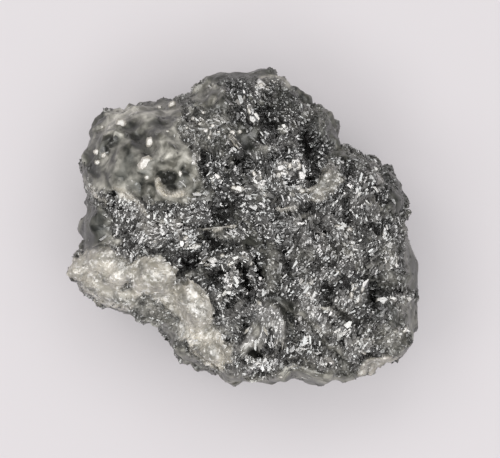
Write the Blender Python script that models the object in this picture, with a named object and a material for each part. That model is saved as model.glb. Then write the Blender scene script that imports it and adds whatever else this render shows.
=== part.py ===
"""Rough diamond: one grey, crystal-crusted stone about 10.6 mm long, lying on a natural cleavage face.

Sizes here are in millimetres and become metres when the meshes are filled, and +Z is up. The origin is
on the face that the stone rests on, under the middle of it. The stone starts as an icosphere that is
pulled out to a cushion with the stone's outline and given the dome, knobs, clefts and hollows of its
upper side. Intergrown crystals are joined to it, and its flat faces are cut last.
"""

import itertools
import math

import bmesh
import bpy
import numpy as np
from mathutils import Euler, Matrix, Quaternion, Vector, noise
from mathutils.bvhtree import BVHTree

MM = 0.001

# Driving dimensions
PLATEAU_HEIGHT = 6.1  # the wide upper face, above the resting face
HEART_HEIGHT = 3.2  # the inner point that the cushion is drawn around
BASE_DEPTH = 3.75  # from that point to the lowest point of the uncut cushion
CRUST_ROOM = 0.18  # how far the crystals stand out past the cushion
WAIST_TAPER = 0.10  # share of the waist radius that the underside loses
SPLITS = 11  # of each of the icosahedron's edges, so the cushion has 20 * SPLITS**2 triangles

# The stone's outline seen from above, anticlockwise from the right
OUTLINE = (
    (5.0, -0.2), (4.95, 0.6), (4.7, 1.3), (4.25, 1.85), (3.7, 2.15), (3.05, 2.3), (2.85, 2.65),
    (2.65, 3.35), (1.6, 4.0), (1.0, 4.55), (0.55, 4.75), (-0.25, 4.6), (-1.2, 4.6), (-1.5, 4.3),
    (-2.1, 4.0), (-3.1, 3.75), (-4.1, 3.62), (-4.6, 3.28), (-4.85, 2.3), (-4.9, 1.4), (-4.75, 0.55),
    (-4.9, -0.05), (-5.1, -0.85), (-5.32, -1.35), (-4.6, -2.1), (-3.9, -2.45), (-3.05, -2.75),
    (-2.35, -3.45), (-1.55, -4.15), (-0.95, -4.35), (-0.25, -4.75), (0.2, -4.65), (1.7, -4.7),
    (3.2, -4.6), (3.75, -4.35), (4.4, -4.2), (4.8, -3.85), (5.2, -2.95), (5.2, -1.6), (5.15, -0.9),
)

# How squarely the upper face meets the sides: everywhere, and extra towards some directions
RIM_SHARPNESS, BASE_SHARPNESS = 2.9, 2.5
SHARP_RIMS = (  # direction in degrees, half width in degrees, extra sharpness
    (213, 34, 3.5),
    (272, 26, 2.0),
)

# Relief of the upper side: x, y, half length, half width, turn in degrees, rise, steepness of its edge
RELIEF = (
    (-3.10, 2.10, 1.95, 1.65, 10, 1.10, 1.6),  # the dome at the upper left
    (-3.30, 2.85, 0.60, 0.36, -40, -0.55, 1.4),  # hollows in the dome
    (-2.10, 1.30, 0.62, 0.42, 10, -0.62, 1.4),
    (-4.30, 2.05, 0.40, 0.50, 0, -0.45, 1.4),
    (-2.70, 2.20, 0.45, 0.35, 30, 0.22, 1.4),  # the knob between them
    (-2.95, 0.05, 1.45, 0.50, -4, -0.42, 1.2),  # the saddle between the dome and the pale ledge
    (-4.55, -1.25, 0.50, 0.40, 10, 0.30, 1.3),  # the pale ledge and its knobs
    (-3.60, -1.20, 0.50, 0.36, -20, 0.32, 1.5),
    (-2.50, -1.38, 0.62, 0.42, -6, 0.55, 1.5),
    (-1.48, -2.10, 0.50, 0.50, 20, 0.55, 1.5),
    (-1.20, -3.00, 0.45, 0.48, 0, 0.45, 1.5),
    (-0.90, -3.80, 0.45, 0.42, 0, 0.42, 1.5),
    (-1.95, -3.90, 0.95, 0.40, -40, -1.35, 2.0),  # the low shoulder under the ledge
    (-0.80, -1.05, 0.55, 0.85, 10, -0.60, 1.4),  # the dark hollow beside the ledge
    (0.45, -1.45, 0.30, 0.80, -8, -0.75, 1.4),  # the cleft
    (-0.60, 0.60, 0.75, 0.42, 4, -0.45, 1.5),  # the hollow above the small step
    (1.82, 0.42, 0.32, 0.28, 0, -0.50, 1.3),
    (0.85, 3.10, 0.55, 0.42, 20, -0.50, 1.4),
    (1.95, 2.40, 0.70, 0.45, -30, -0.70, 1.4),  # the valley in from the notch
    (0.20, 3.60, 1.15, 0.80, 0, 0.25, 1.3),  # the top lobe
    (3.75, 0.85, 1.05, 0.90, 0, 0.45, 1.5),  # the lobes down the right side
    (3.60, -0.05, 0.60, 0.30, -15, -0.45, 1.4),
    (4.10, -1.15, 0.95, 0.70, 80, 0.35, 1.5),
    (4.55, -2.00, 0.75, 0.26, -8, -0.50, 1.3),
    (4.15, -2.70, 0.80, 0.60, 40, 0.32, 1.5),
    (3.80, -3.35, 0.55, 0.25, 30, -0.42, 1.4),
    (2.50, -1.75, 1.25, 0.90, 15, 0.22, 1.7),
    (1.55, -2.80, 0.26, 0.75, 14, -0.55, 1.4),  # the groove beside the fan
    (2.20, -3.55, 0.60, 0.28, -35, -0.38, 1.4),
)
ROUGHNESS_HEIGHT, ROUGHNESS_SCALE = 0.11, 0.62  # uneven ground under the crystals, and its grain

# Tablets lying in the upper side: x and y of the middle; half length, half width and thickness; how far
# they stand out; tilts about X and Y, and turn about Z, in degrees
TABLETS = (
    ((0.90, -1.15), (0.95, 0.34, 0.8), 0.16, (4, 3, 83)),  # the smooth column beside the cleft
    ((2.45, 1.42), (0.58, 0.27, 0.8), 0.26, (10, -8, 58)),  # the pale slab
    ((1.05, 0.18), (0.95, 0.52, 0.8), 0.18, (-8, 4, -6)),  # the terrace
    ((-0.10, -0.98), (0.48, 0.26, 0.7), 0.24, (-14, 8, 20)),  # the step beside the dark hollow
    ((-4.05, 0.12), (0.62, 0.55, 0.9), 0.16, (6, -24, 40)),  # the smooth face at the left
    ((1.20, 1.80), (0.66, 0.42, 0.8), 0.22, (12, -14, 24)),
    ((-0.25, 1.50), (0.55, 0.38, 0.8), 0.20, (16, 10, -18)),
    ((3.00, -1.80), (0.80, 0.48, 0.8), 0.16, (-9, 10, 22)),
    ((2.75, -3.05), (0.62, 0.45, 0.8), 0.18, (-12, -8, -30)),
)
TABLET_SIDES, TABLET_TAPER = 6, 0.80

# Blunt knobs of the pale ledge: x, y; half length, half width, half height; turn in degrees; how far they
# stand out
KNOBS = (
    ((-4.85, -1.28), (0.55, 0.38, 0.42), 20, 0.12),
    ((-4.20, -1.05), (0.70, 0.46, 0.42), -12, 0.18),
    ((-3.45, -1.20), (0.66, 0.52, 0.42), 15, 0.16),
    ((-2.55, -1.38), (0.85, 0.60, 0.45), -8, 0.28),
    ((-1.70, -1.85), (0.66, 0.52, 0.42), -50, 0.20),
    ((-1.18, -2.45), (0.68, 0.56, 0.45), 75, 0.24),
    ((-1.50, -3.12), (0.62, 0.54, 0.42), 50, 0.18),
    ((-0.92, -3.70), (0.68, 0.52, 0.45), -60, 0.22),
)
KNOB_DENT, KNOB_GRAIN = 0.28, 0.45  # how uneven they are, and the grain of it

# Ledges along the lower edge: middle; half length, half width and thickness; turn about Z in degrees
LEDGES = (
    ((1.55, -4.02, 4.00), (1.85, 0.60, 0.42), 0),
    ((1.15, -3.95, 4.55), (1.40, 0.50, 0.34), 3),
    ((0.20, -4.10, 3.45), (0.95, 0.58, 0.45), -8),
)

# The fan: a ribbed half cone with a rounded end, from its apex to the middle of its far end
FAN_APEX, FAN_END = (0.46, -1.95), (0.96, -3.80)
FAN_HALF_WIDTH, FAN_RISE = 1.20, 0.95
FAN_APEX_DEPTH, FAN_END_DEPTH = -0.08, 0.16  # how deep the cone's axis lies
FAN_RIBS, FAN_RINGS, RIB_DEPTH = 11, 8, 0.22
FAN_FLARE, FAN_END_ROUNDNESS = 0.8, 6  # powers of the share of its length: how it widens and how it ends

# Flat faces that cut the stone: a point on the plane and the way that it faces
FLAT_FACES = (
    ((0.0, 0.0, 0.0), (0.0, 0.0, -1.0)),  # the face that it rests on
    ((2.50, 3.30, 5.00), (0.62, 0.66, 0.42)),  # the skin at the upper right
    ((-4.2, -2.55, 2.20), (-0.62, -0.70, -0.36)),  # cleavage faces low on the sides
    ((4.6, 0.40, 1.80), (0.86, 0.30, -0.41)),
    ((-0.4, 4.15, 1.60), (-0.10, 0.88, -0.46)),
    ((-4.3, 2.20, 1.70), (-0.84, 0.32, -0.44)),
    ((2.6, -3.95, 1.30), (0.34, -0.78, -0.52)),
)
CUTTER_SIZE = 20.0

# Intergrown crystals: octahedra with their tips cut off
CRYSTAL_SPACING = 0.90  # the least distance between two crystals' places
CRYSTAL_RADIUS = (0.42, 0.95)  # from the centre to a face, smallest and largest
CRYSTAL_STANDS_OUT = (0.16, 0.40)  # the highest corner, above the ground
STEEP_GROUND_SHARE = 0.62  # crystals on upright ground are this much of the size of those on level ground
TIP_CUT = (1.12, 1.45)  # distance to the faces that cut the tips, as a share of the radius
BARE_HOLLOW = -0.20  # no crystal fills a hollow deeper than this
SMOOTH_AREAS = (  # x, y, half length, half width: fewer crystals on the upper side here
    (-3.2, 2.2, 0.8, 0.6),
    (-4.1, 0.1, 0.8, 0.6),
    (-3.5, -1.4, 1.9, 1.0),
    (-1.4, -2.9, 0.8, 1.5),
    (0.80, -3.0, 1.1, 1.3),
)
CRYSTAL_SEED = 11

GREY_BODY = (0.115, 0.115, 0.108, 1.0)
LUSTRE_ROUGHNESS = 0.22
DIAMOND_IOR = 2.417


def normalised(vectors):
    return vectors / np.linalg.norm(vectors, axis=-1, keepdims=True)


def outline_radius(angle):
    """The waist's distance from the middle axis in each direction."""
    points = np.array(OUTLINE)
    return np.interp(
        angle,
        np.arctan2(points[:, 1], points[:, 0]),
        np.hypot(points[:, 0], points[:, 1]),
        period=2 * math.pi,
    )


def rim_sharpness(angle):
    sharpness = np.full(angle.shape, RIM_SHARPNESS)
    for direction, half_width, extra in SHARP_RIMS:
        off = (np.degrees(angle) - direction + 180) % 360 - 180
        sharpness += extra * np.exp(-((off / half_width) ** 2))
    return sharpness


def cushion(rays):
    """Distance from the heart to the plain cushion along each ray: a superellipse over the outline."""
    angle = np.arctan2(rays[:, 1], rays[:, 0])
    level = np.hypot(rays[:, 0], rays[:, 1])
    upper = rays[:, 2] > 0
    waist = outline_radius(angle) - CRUST_ROOM
    waist *= np.where(upper, 1.0, 1 - WAIST_TAPER * rays[:, 2] ** 2)
    height = np.where(upper, PLATEAU_HEIGHT - HEART_HEIGHT - CRUST_ROOM, BASE_DEPTH)
    power = np.where(upper, rim_sharpness(angle), BASE_SHARPNESS)
    return ((level / waist) ** power + (np.abs(rays[:, 2]) / height) ** power) ** (-1 / power)


def relief_height(x, y):
    """Rise of the upper side at each place: soft-edged humps, mesas and hollows."""
    rise = np.zeros(np.shape(x))
    for at_x, at_y, half_length, half_width, turn, height, steepness in RELIEF:
        cos, sin = math.cos(math.radians(turn)), math.sin(math.radians(turn))
        along = ((x - at_x) * cos + (y - at_y) * sin) / half_length
        across = ((y - at_y) * cos - (x - at_x) * sin) / half_width
        rise += height * np.exp(-((along**2 + across**2) ** steepness))
    return rise


def cushion_points(sphere_points):
    """Where each point of the unit sphere lies on the stone before its crystals grow."""
    stretch = np.abs(np.array(OUTLINE)).max(axis=0)
    rays = normalised(sphere_points * (*stretch, HEART_HEIGHT))
    points = rays * cushion(rays)[:, None]
    upper = np.clip(points[:, 2] / (PLATEAU_HEIGHT - HEART_HEIGHT), 0, 1)
    upper = upper * upper * (3 - 2 * upper)
    points[:, 2] += upper * relief_height(points[:, 0], points[:, 1])
    uneven = [noise.noise(Vector(point / ROUGHNESS_SCALE)) for point in points]
    points += rays * np.array(uneven)[:, None] * ROUGHNESS_HEIGHT
    return points + (0, 0, HEART_HEIGHT)


def cushion_mesh():
    """The stone without its crystals, as a bmesh in millimetres."""
    stone = bmesh.new()
    bmesh.ops.create_icosphere(stone, subdivisions=1, radius=1.0)
    bmesh.ops.subdivide_edges(stone, edges=stone.edges[:], cuts=SPLITS - 1, use_grid_fill=True)
    sphere_points = normalised(np.array([vertex.co for vertex in stone.verts]))
    for vertex, point in zip(stone.verts, cushion_points(sphere_points)):
        vertex.co = point
    return stone


def scattered_faces(stone, rng):
    """Faces of the stone in random order, leaving out each that is too near one before it."""
    stone.faces.ensure_lookup_table()
    taken = []
    for index in rng.permutation(len(stone.faces)):
        place = stone.faces[index].calc_center_median()
        if all((place - other).length > CRYSTAL_SPACING for other in taken):
            taken.append(place)
            yield place, stone.faces[index].normal


def smoothness(place):
    """Share of the crystals that are missing at a place on the upper side."""
    if place.z < HEART_HEIGHT:
        return 0.0
    return max(
        math.exp(-((((place.x - x) / half_length) ** 2 + ((place.y - y) / half_width) ** 2) ** 2))
        for x, y, half_length, half_width in SMOOTH_AREAS
    )


def add_hull(shapes, points):
    corners = [shapes.verts.new(point) for point in points]
    bmesh.ops.convex_hull(shapes, input=corners)


def octahedral_corners(radius, tip):
    """Corners of an octahedron with its tips cut off at a distance of tip."""
    rest = math.sqrt(3) * radius - tip
    signs = itertools.product((-1, 1), repeat=2)
    corners = [(a * tip, b * rest, 0.0) for a, b in signs]
    corners += [(y, x, z) for x, y, z in corners]
    return [Vector(c[turn:] + c[:turn]) for c in corners for turn in range(3)]


def add_crystals(shapes, stone):
    """Octahedral crystals all over the stone, each sunk into it to its own depth."""
    rng = np.random.default_rng(CRYSTAL_SEED)
    for place, normal in scattered_faces(stone, rng):
        radius = rng.uniform(*CRYSTAL_RADIUS)
        stands_out = rng.uniform(*CRYSTAL_STANDS_OUT)
        tip = radius * rng.uniform(*TIP_CUT)
        turn = Quaternion(normalised(rng.normal(size=4)))
        smooth = smoothness(place)
        hollow = place.z > HEART_HEIGHT and relief_height(place.x, place.y) < BARE_HOLLOW
        if hollow or place.z < 0 or rng.random() < smooth:
            continue
        share = (STEEP_GROUND_SHARE + (1 - STEEP_GROUND_SHARE) * abs(normal.z)) * (1 - smooth / 2)
        corners = [turn @ corner * share for corner in octahedral_corners(radius, tip)]
        sunk = max(normal.dot(corner) for corner in corners) - stands_out * share
        add_hull(shapes, [place - normal * sunk + corner for corner in corners])


def degrees(x, y, z):
    return Euler((math.radians(x), math.radians(y), math.radians(z)))


def add_tablet(shapes, middle, half_size, turn):
    """A flat crystal with TABLET_SIDES sides, whose upper face is smaller than its lower one."""
    half_length, half_width, thickness = half_size
    tablet = bmesh.new()
    bmesh.ops.create_cone(
        tablet, cap_ends=True, segments=TABLET_SIDES, radius1=1.0, radius2=TABLET_TAPER, depth=thickness
    )
    bmesh.ops.scale(tablet, vec=(half_length, half_width, 1.0), verts=tablet.verts)
    add_hull(shapes, [middle + turn.to_matrix() @ vertex.co for vertex in tablet.verts])
    tablet.free()


def on_top(surface, x, y):
    """The place on the upper side over x and y."""
    return surface.ray_cast(Vector((x, y, CUTTER_SIZE)), Vector((0, 0, -1)))[0]


def add_tablets(shapes, surface):
    for (x, y), half_size, stands_out, tilts in TABLETS:
        middle = on_top(surface, x, y) + Vector((0, 0, stands_out - half_size[2] / 2))
        add_tablet(shapes, middle, half_size, degrees(*tilts))


def add_knobs(shapes, surface):
    """Dented ellipsoids, mostly sunk."""
    for (x, y), half_size, turn, stands_out in KNOBS:
        middle = on_top(surface, x, y) - Vector((0, 0, half_size[2] - stands_out))
        ball = bmesh.ops.create_icosphere(shapes, subdivisions=2, radius=1.0)
        for vertex in ball["verts"]:
            dented = vertex.co * (1 + KNOB_DENT * noise.noise((vertex.co + middle) / KNOB_GRAIN))
            dented = Vector(half_size) * dented
            vertex.co = middle + degrees(0, 0, turn).to_matrix() @ dented


def add_ledges(shapes):
    for middle, half_size, turn in LEDGES:
        add_tablet(shapes, Vector(middle), half_size, degrees(0, 0, turn))


def add_fan(shapes, surface):
    """A sphere drawn out along the fan's axis, with every second meridian drawn in between the ribs."""
    apex = on_top(surface, *FAN_APEX) - Vector((0, 0, FAN_APEX_DEPTH))
    end = on_top(surface, *FAN_END) - Vector((0, 0, FAN_END_DEPTH))
    across = Vector((0, 0, 1)).cross(end - apex).normalized()
    up = (end - apex).cross(across).normalized()
    ball = bmesh.ops.create_uvsphere(shapes, u_segments=2 * FAN_RIBS, v_segments=FAN_RINGS, radius=1.0)
    for vertex in ball["verts"]:
        share = (1 - vertex.co.z) / 2
        spread = share**FAN_FLARE * math.sqrt(max(1 - share**FAN_END_ROUNDNESS, 0.0))
        turn = math.atan2(vertex.co.y, vertex.co.x)
        rib = round(turn * FAN_RIBS / math.pi)
        spread *= 1 - RIB_DEPTH * (rib % 2)
        sideways = across * FAN_HALF_WIDTH * math.cos(turn) + up * FAN_RISE * math.sin(turn)
        vertex.co = apex.lerp(end, share) + sideways * spread


def link(name, mesh_of, collection):
    """An object made from a bmesh in millimetres."""
    bmesh.ops.recalc_face_normals(mesh_of, faces=mesh_of.faces[:])
    bmesh.ops.scale(mesh_of, vec=(MM, MM, MM), verts=mesh_of.verts)
    mesh = bpy.data.meshes.new(name)
    mesh_of.to_mesh(mesh)
    mesh_of.free()
    made = bpy.data.objects.new(name, mesh)
    collection.objects.link(made)
    return made


def add_boolean(stone, name, operation, other):
    boolean = stone.modifiers.new(name, "BOOLEAN")
    boolean.operation = operation
    boolean.solver = "EXACT"
    boolean.use_self = True
    boolean.object = other


def flat_face_cutters():
    """Cubes whose inner sides are the stone's flat faces."""
    cutters = bmesh.new()
    for place, facing in FLAT_FACES:
        facing = Vector(facing).normalized()
        turn = facing.to_track_quat("Z", "Y")
        middle = Vector(place) + facing * CUTTER_SIZE / 2
        placed = Matrix.Translation(middle) @ turn.to_matrix().to_4x4()
        bmesh.ops.create_cube(cutters, size=CUTTER_SIZE, matrix=placed)
    return cutters


def diamond_material():
    material = bpy.data.materials.new("rough_diamond")
    material.use_nodes = True
    shader = material.node_tree.nodes["Principled BSDF"]
    shader.inputs["Base Color"].default_value = GREY_BODY
    shader.inputs["Roughness"].default_value = LUSTRE_ROUGHNESS
    shader.inputs["Metallic"].default_value = 0.0
    shader.inputs["IOR"].default_value = DIAMOND_IOR
    return material


def new_collection(name):
    collection = bpy.data.collections.new(name)
    bpy.context.scene.collection.children.link(collection)
    return collection


def stand_on_origin(stone, helpers):
    """Moves all of it together, so that the middle of the finished stone's box is over the origin."""
    finished = stone.evaluated_get(bpy.context.evaluated_depsgraph_get())
    corners = np.array([tuple(corner) for corner in finished.bound_box])
    middle = (corners.max(axis=0) + corners.min(axis=0)) / 2
    for moved in (stone, *helpers):
        moved.location = (-middle[0], -middle[1], 0.0)


def main():
    for leftover in list(bpy.data.objects):
        bpy.data.objects.remove(leftover)
    parts, helpers = new_collection("rough diamond"), new_collection("cutters")
    cushion_shape = cushion_mesh()
    surface = BVHTree.FromBMesh(cushion_shape)
    crystals = bmesh.new()
    add_crystals(crystals, cushion_shape)
    add_tablets(crystals, surface)
    add_knobs(crystals, surface)
    add_ledges(crystals)
    add_fan(crystals, surface)
    stone = link("rough_diamond", cushion_shape, parts)
    stone.data.materials.append(diamond_material())
    crystals = link("crystals", crystals, helpers)
    cutters = link("flat_faces", flat_face_cutters(), helpers)
    add_boolean(stone, "Grown crystals", "UNION", crystals)
    add_boolean(stone, "Flat faces", "DIFFERENCE", cutters)
    for helper in (crystals, cutters):
        helper.hide_render = True
        helper.display_type = "WIRE"
    stand_on_origin(stone, (crystals, cutters))


main()
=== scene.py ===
"""Looks of the rough diamond: a dark grey stone of intergrown crystals, on a pale floor under soft light.

Lengths are millimetres in the row frame, with x to the right, y up the picture and z towards the camera.
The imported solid's mesh gives the form. It is made finer and given its lumps, clefts and facets. Slivers,
shards and flakes of crystal are then set into it, turned alike within each grain as intergrown crystals are.
"""

import itertools
import math

import bmesh
import bpy
import numpy as np
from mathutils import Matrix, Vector


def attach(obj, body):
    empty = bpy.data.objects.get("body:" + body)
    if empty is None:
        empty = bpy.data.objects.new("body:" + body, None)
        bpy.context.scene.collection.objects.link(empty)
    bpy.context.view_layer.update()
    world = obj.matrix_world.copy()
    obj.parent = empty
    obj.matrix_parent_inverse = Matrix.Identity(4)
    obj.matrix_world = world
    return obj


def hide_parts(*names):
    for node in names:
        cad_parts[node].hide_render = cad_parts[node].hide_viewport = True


MM = 0.001
NODE, BODY, SLOT = "rough_diamond", "root", "diamond"
SEED = 7
UP = np.array((0, 0, 1.0))

# The photograph: its size, what one of its pixels measures on the stone, and where the frame's origin is
PICTURE = (500, 458)
PIXEL = 0.030
ORIGIN_PIXEL = (241.2, 230.3)
CAMERA_HEIGHT, FOCUS_LEVEL, SENSOR_WIDTH = 300.0, 4.5, 36.0

# The fine body
VOXEL = 0.078
WELD = 1e-7  # m
FINER_ABOVE, FINER_FACING = 2.4, 0.1  # mm, and how far up faces face, past which the body is twice as fine
SETTLE_ROUNDS = 2
LEVEL_ROUNDS = 90  # smoothing rounds that give the ground that bumps and hollows are measured from
MOST_TRIANGLES = 196000  # of the finished body
SHARP_ANGLE = 32  # degrees between two faces, past which their edge is sharp
SHARPEN = 0.7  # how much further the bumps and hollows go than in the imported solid
PAINTED_SHADE_DEPTH = 0.30  # mm under the smoothed ground at which a hollow's painted shade is full
LEAF_EVEN, CALM_EVEN = 0.9, 0.8  # how far the leaf and the calm places are kept clear of facets
DARK_COLOUR_AND_SHADE = 0.62  # how far the places of DARK are made near-black at least, partly as painted shade
WOBBLE = (0.35, (31, 32, 33))  # size in mm and seeds of the noise that makes edges uneven

# Where the picture's side of the stone begins, above the floor and off the horizontal, and over how much
UPPER_FROM, UPPER_FADE = 2.0, 0.5
FACING_FROM, FACING_FADE = -0.05, 0.3
# Where the moves of the sides begin, from the middle in mm, and over how much
PUSH_FROM, PUSH_FADE = 2.4, 1.4

NOISE_REACH = 1.7  # brings the lattice's noise to about -1 to 1
# Facets of the broken ground: width and length in mm, tilt
FACETS = ((0.66, 0.85, 0.38), (0.28, 0.50, 0.50), (0.15, 0.26, 0.62))
FACET_SEED, JOINT_SEED, GRAIN_SEED, RIB_SEED = 40, 45, 3, 70
# Joints between the lumps of the broken ground: size of the lumps, half width and depth of the joints in mm
JOINTS = ((1.05, 0.060, 0.17), (0.55, 0.040, 0.07))

# What each thing adds to the tone of the pale crust, the glassy and the broken ground, and both of these. The
# sides' darkening is painted shade, the lumps' lightening and darkening painted light and shade, the bright
# patches' lightening a painted highlight, and the dark places' and the ground tones' partly painted light and
# shade.
PALE_TONE, WHITER_TONE, GREYER_TONE = 0.60, 0.45, 1.1
GLASS_TONE, SIDE_SHADE_TONE, LUMP_LIGHT_AND_SHADE_TONE = 0.30, 0.14, 0.16
BROKEN_TONE, GRAIN_TONE = 0.15, 0.28
LEAF_TONE, PAINTED_GLINT_TONE, DARK_COLOUR_AND_SHADE_TONE, TONE_AND_PAINTED_LIGHT_WEIGHT = 0.34, 0.35, 0.3, 0.8

# Layers of noise: size in mm, height, seed. The height of the lumps is in mm, and elsewhere it is a share
GLASS_LUMPS = ((0.70, 0.09, 50), (0.36, 0.040, 51), (0.17, 0.022, 52), (0.10, 0.010, 53))
PALE_LUMPS = ((0.60, 0.085, 60), (0.26, 0.032, 61), (0.12, 0.014, 62))
BARE_LAYERS = ((0.55, 0.55, 91), (0.25, 0.3, 92))
SIDE_LAYERS = ((1.1, 0.8, 97), (0.5, 0.35, 98))
SPECKLE_LAYERS = ((0.42, 0.34, 82), (0.16, 0.26, 83), (0.09, 0.2, 85))
MOTTLE_LAYERS = ((0.45, 0.36, 80), (0.20, 0.36, 81), (0.10, 0.26, 84))
GLITTER_LAYERS = ((0.85, 0.20, 95), (0.40, 0.16, 95))

# The crust: grains within which crystals lie alike, and the crystals set into them. Sizes are mm
GRAIN = 0.60
GRAIN_LEAN, CRYSTAL_LEAN = 0.30, 0.20
SLIVER_TRIES, SLIVERS, SLIVER_SCALES = 26000, 15000, (1.2, 0.9, 0.7)  # the last for each piece in turn
SLIVER_LENGTH, SLIVER_WIDTH, SLIVER_THICKNESS = (0.07, 0.25), (0.034, 0.094), (0.35, 0.60)
LONGEST_SLIVER = 0.30
SHEAF_DENSITY, SHEAF_LENGTH, SHEAF_WIDTH = 80, (0.11, 0.27), (0.042, 0.100)  # the first a square mm
FLAKES, FLAKE_DENSITY, FLAKE_LENGTH, FLAKE_KINDS = 420, 55, (0.10, 0.36), 24
SHARDS, SHARD_SIZE, SHARD_KINDS = 800, (0.06, 0.14), 16
SIDE_SLIVERS, SIDE_SHARDS, SIDE_FLAKES = 0.20, 0.04, 0.03  # how often one is kept at least on the sides
CLEAR_OF_FLOOR = 0.08
STEEP = 0.4  # how far up the sides face at the most
# How bare of crystals the leaf, the dark places and the bright patches are, and any ground at the most
LEAF_BARE, DARK_BARE, BRIGHT_BARE, MOST_BARE = 0.70, 0.88, 0.55, 0.95
PALE_CRUSTED = 0.15  # how much less bare the pale crust is than its smoothness says
SEEN_FACING = 0.2  # how far up the ground faces at least where patches, plates and needles lie on it
GLITTER, PATCH_GLITTER = 0.27, 0.70  # shares of the crystals that turn a face to a light

# Softboxes: azimuth, degrees off the vertical, half angle seen from the stone, radiance, colour
LIGHTS = (
    (20, 18, 10, 3.3, (1.00, 0.99, 0.96)),
    (80, 23, 10.5, 3.2, (0.98, 1.00, 0.99)),
    (140, 26, 11, 4.3, (1.00, 0.96, 0.94)),
    (200, 28, 11, 4.0, (1.00, 0.99, 0.95)),
    (260, 27, 11, 3.9, (0.98, 1.00, 0.98)),
    (320, 20, 10, 3.4, (1.00, 0.97, 0.96)),
)
LIGHT_DISTANCE = 200.0
CLEAR_OF_LIGHT = 3  # degrees past a light's edge, from which a face no longer mirrors it
# The tent's radiance against the sine of the height above the horizon
TENT = ((0.0, 0.15), (0.45, 0.15), (0.70, 0.65), (0.86, 1.4), (0.97, 1.4), (0.99, 0.5))
TENT_BRIGHTEST = 1.4

DIAMOND_IOR = 2.417
FLOOR_HALF_SIDE = 0.5  # m
FLOOR_LOOK = {
    "Base Color": (0.386, 0.368, 0.381, 1),
    "Emission Color": (1.0, 0.965, 0.99, 1),
    "Emission Strength": 0.245,
    "Roughness": 0.9,
    "Specular IOR Level": 0.0,
}

# Everything below that has a place is placed by the picture's pixels. Sizes are mm on the stone.

# Glassy, smooth ground, and how soft its edge is
GLASS_EDGE = 0.26
GLASS = (
    ((404, 242), (412, 242), (422, 262), (422, 286), (412, 292), (404, 288), (400, 270), (402, 252)),
    ((404, 302), (412, 298), (422, 302), (422, 330), (410, 340), (404, 322)),
    ((84, 116), (100, 106), (130, 96), (160, 91), (184, 95), (182, 112), (184, 138), (194, 152), (200, 176),
     (204, 192), (190, 203), (160, 204), (130, 198), (106, 190), (82, 184), (78, 150)),
    ((186, 94), (202, 86), (222, 90), (233, 106), (228, 120), (208, 108), (192, 106)),
    ((68, 204), (104, 206), (113, 222), (110, 244), (96, 250), (64, 252)),
    ((200, 86), (214, 68), (246, 64), (266, 70), (292, 82), (284, 90), (262, 80), (240, 82), (216, 92)),
    ((280, 78), (300, 84), (326, 92), (342, 112), (348, 140), (348, 162), (337, 158), (331, 136),
     (320, 114), (298, 104), (282, 92)),
    ((382, 187), (400, 186), (405, 214), (386, 217)),
    ((218, 362), (250, 377), (300, 367), (352, 370), (356, 386), (300, 390), (240, 390), (214, 382)),
    ((168, 330), (190, 344), (212, 368), (226, 386), (200, 388), (176, 370)),
    ((232, 127), (256, 127), (258, 152), (244, 153), (238, 142)),
    ((241, 236), (258, 236), (259, 249), (243, 250)),
    ((261, 302), (263, 297), (270, 293), (280, 294), (290, 302), (296, 316), (296, 346), (290, 346),
     (289, 322), (283, 309), (275, 302), (266, 302)),
    ((252, 340), (262, 344), (258, 356), (244, 352)),
    ((178, 168), (196, 168), (200, 190), (182, 192)),
    ((184, 94), (194, 82), (204, 76), (216, 66), (218, 84), (206, 94)),
)
# Ground that is only partly smooth
HALF_EDGE = 0.30
HALF_GLASS = (
    ((345, 156), (370, 150), (396, 164), (412, 186), (418, 215), (421, 245), (424, 280), (421, 312),
     (411, 306), (409, 262), (404, 226), (396, 200), (380, 176), (355, 168)),
    ((124, 308), (138, 302), (148, 294), (162, 299), (174, 312), (184, 330), (180, 340), (164, 333),
     (148, 322)),
    ((374, 246), (398, 240), (398, 290), (380, 292)),
    ((384, 300), (400, 298), (404, 326), (384, 322)),
    ((384, 334), (404, 334), (410, 350), (394, 356), (382, 350)),
    ((340, 116), (316, 108), (300, 104), (318, 140)),
    ((262, 96), (286, 92), (298, 110), (276, 112)),
    ((182, 96), (206, 104), (232, 104), (236, 126), (228, 156), (208, 160), (188, 142)),
    ((262, 248), (281, 248), (282, 292), (266, 296)),
    ((370, 318), (400, 320), (408, 346), (396, 352), (372, 342)),
    ((326, 240), (346, 250), (338, 262), (322, 252)),
    ((300, 246), (316, 250), (300, 270), (290, 262)),
    ((336, 300), (352, 316), (346, 326), (328, 308)),
    ((214, 232), (238, 232), (240, 240), (214, 242)),
)
# Pale crust
PALE_EDGE = 0.10
PALE = (
    ((62, 274), (68, 258), (84, 250), (104, 245), (118, 253), (130, 262), (146, 256), (168, 259),
     (179, 270), (177, 284), (190, 278), (206, 287), (212, 302), (214, 322), (222, 335), (234, 346),
     (231, 358), (222, 368), (208, 366), (200, 352), (188, 341), (182, 328), (172, 314), (160, 301),
     (148, 296), (140, 305), (128, 306), (104, 303), (84, 292)),
    ((320, 166), (336, 162), (341, 180), (333, 192), (316, 202), (309, 196), (319, 184)),
    ((350, 378), (370, 358), (392, 350), (412, 344), (412, 358), (394, 370), (366, 384)),
)

# Paths along the ground that more than one table names
VALLEY = ((298, 310), (318, 330), (335, 352), (346, 368))
RIGHT_RIDGE = ((338, 240), (352, 258), (366, 276), (386, 290))
UPPER_RIDGE = ((250, 100), (264, 108), (282, 108), (300, 108), (316, 118), (326, 140))
RIGHT_CLEFT = ((383, 316), (396, 328), (402, 340))
MIDDLE_RIDGE = ((200, 229), (214, 230), (226, 227), (237, 226))
SHORT_RIDGE = ((277, 209), (289, 210), (297, 206))
GLINT_CRESCENT = ((159, 181), (161, 189), (167, 194), (176, 195), (183, 194))
LEFT_RIM = ((92, 188), (98, 198), (108, 203))
PALE_BAR = ((229, 137), (235, 143), (241, 150))
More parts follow.
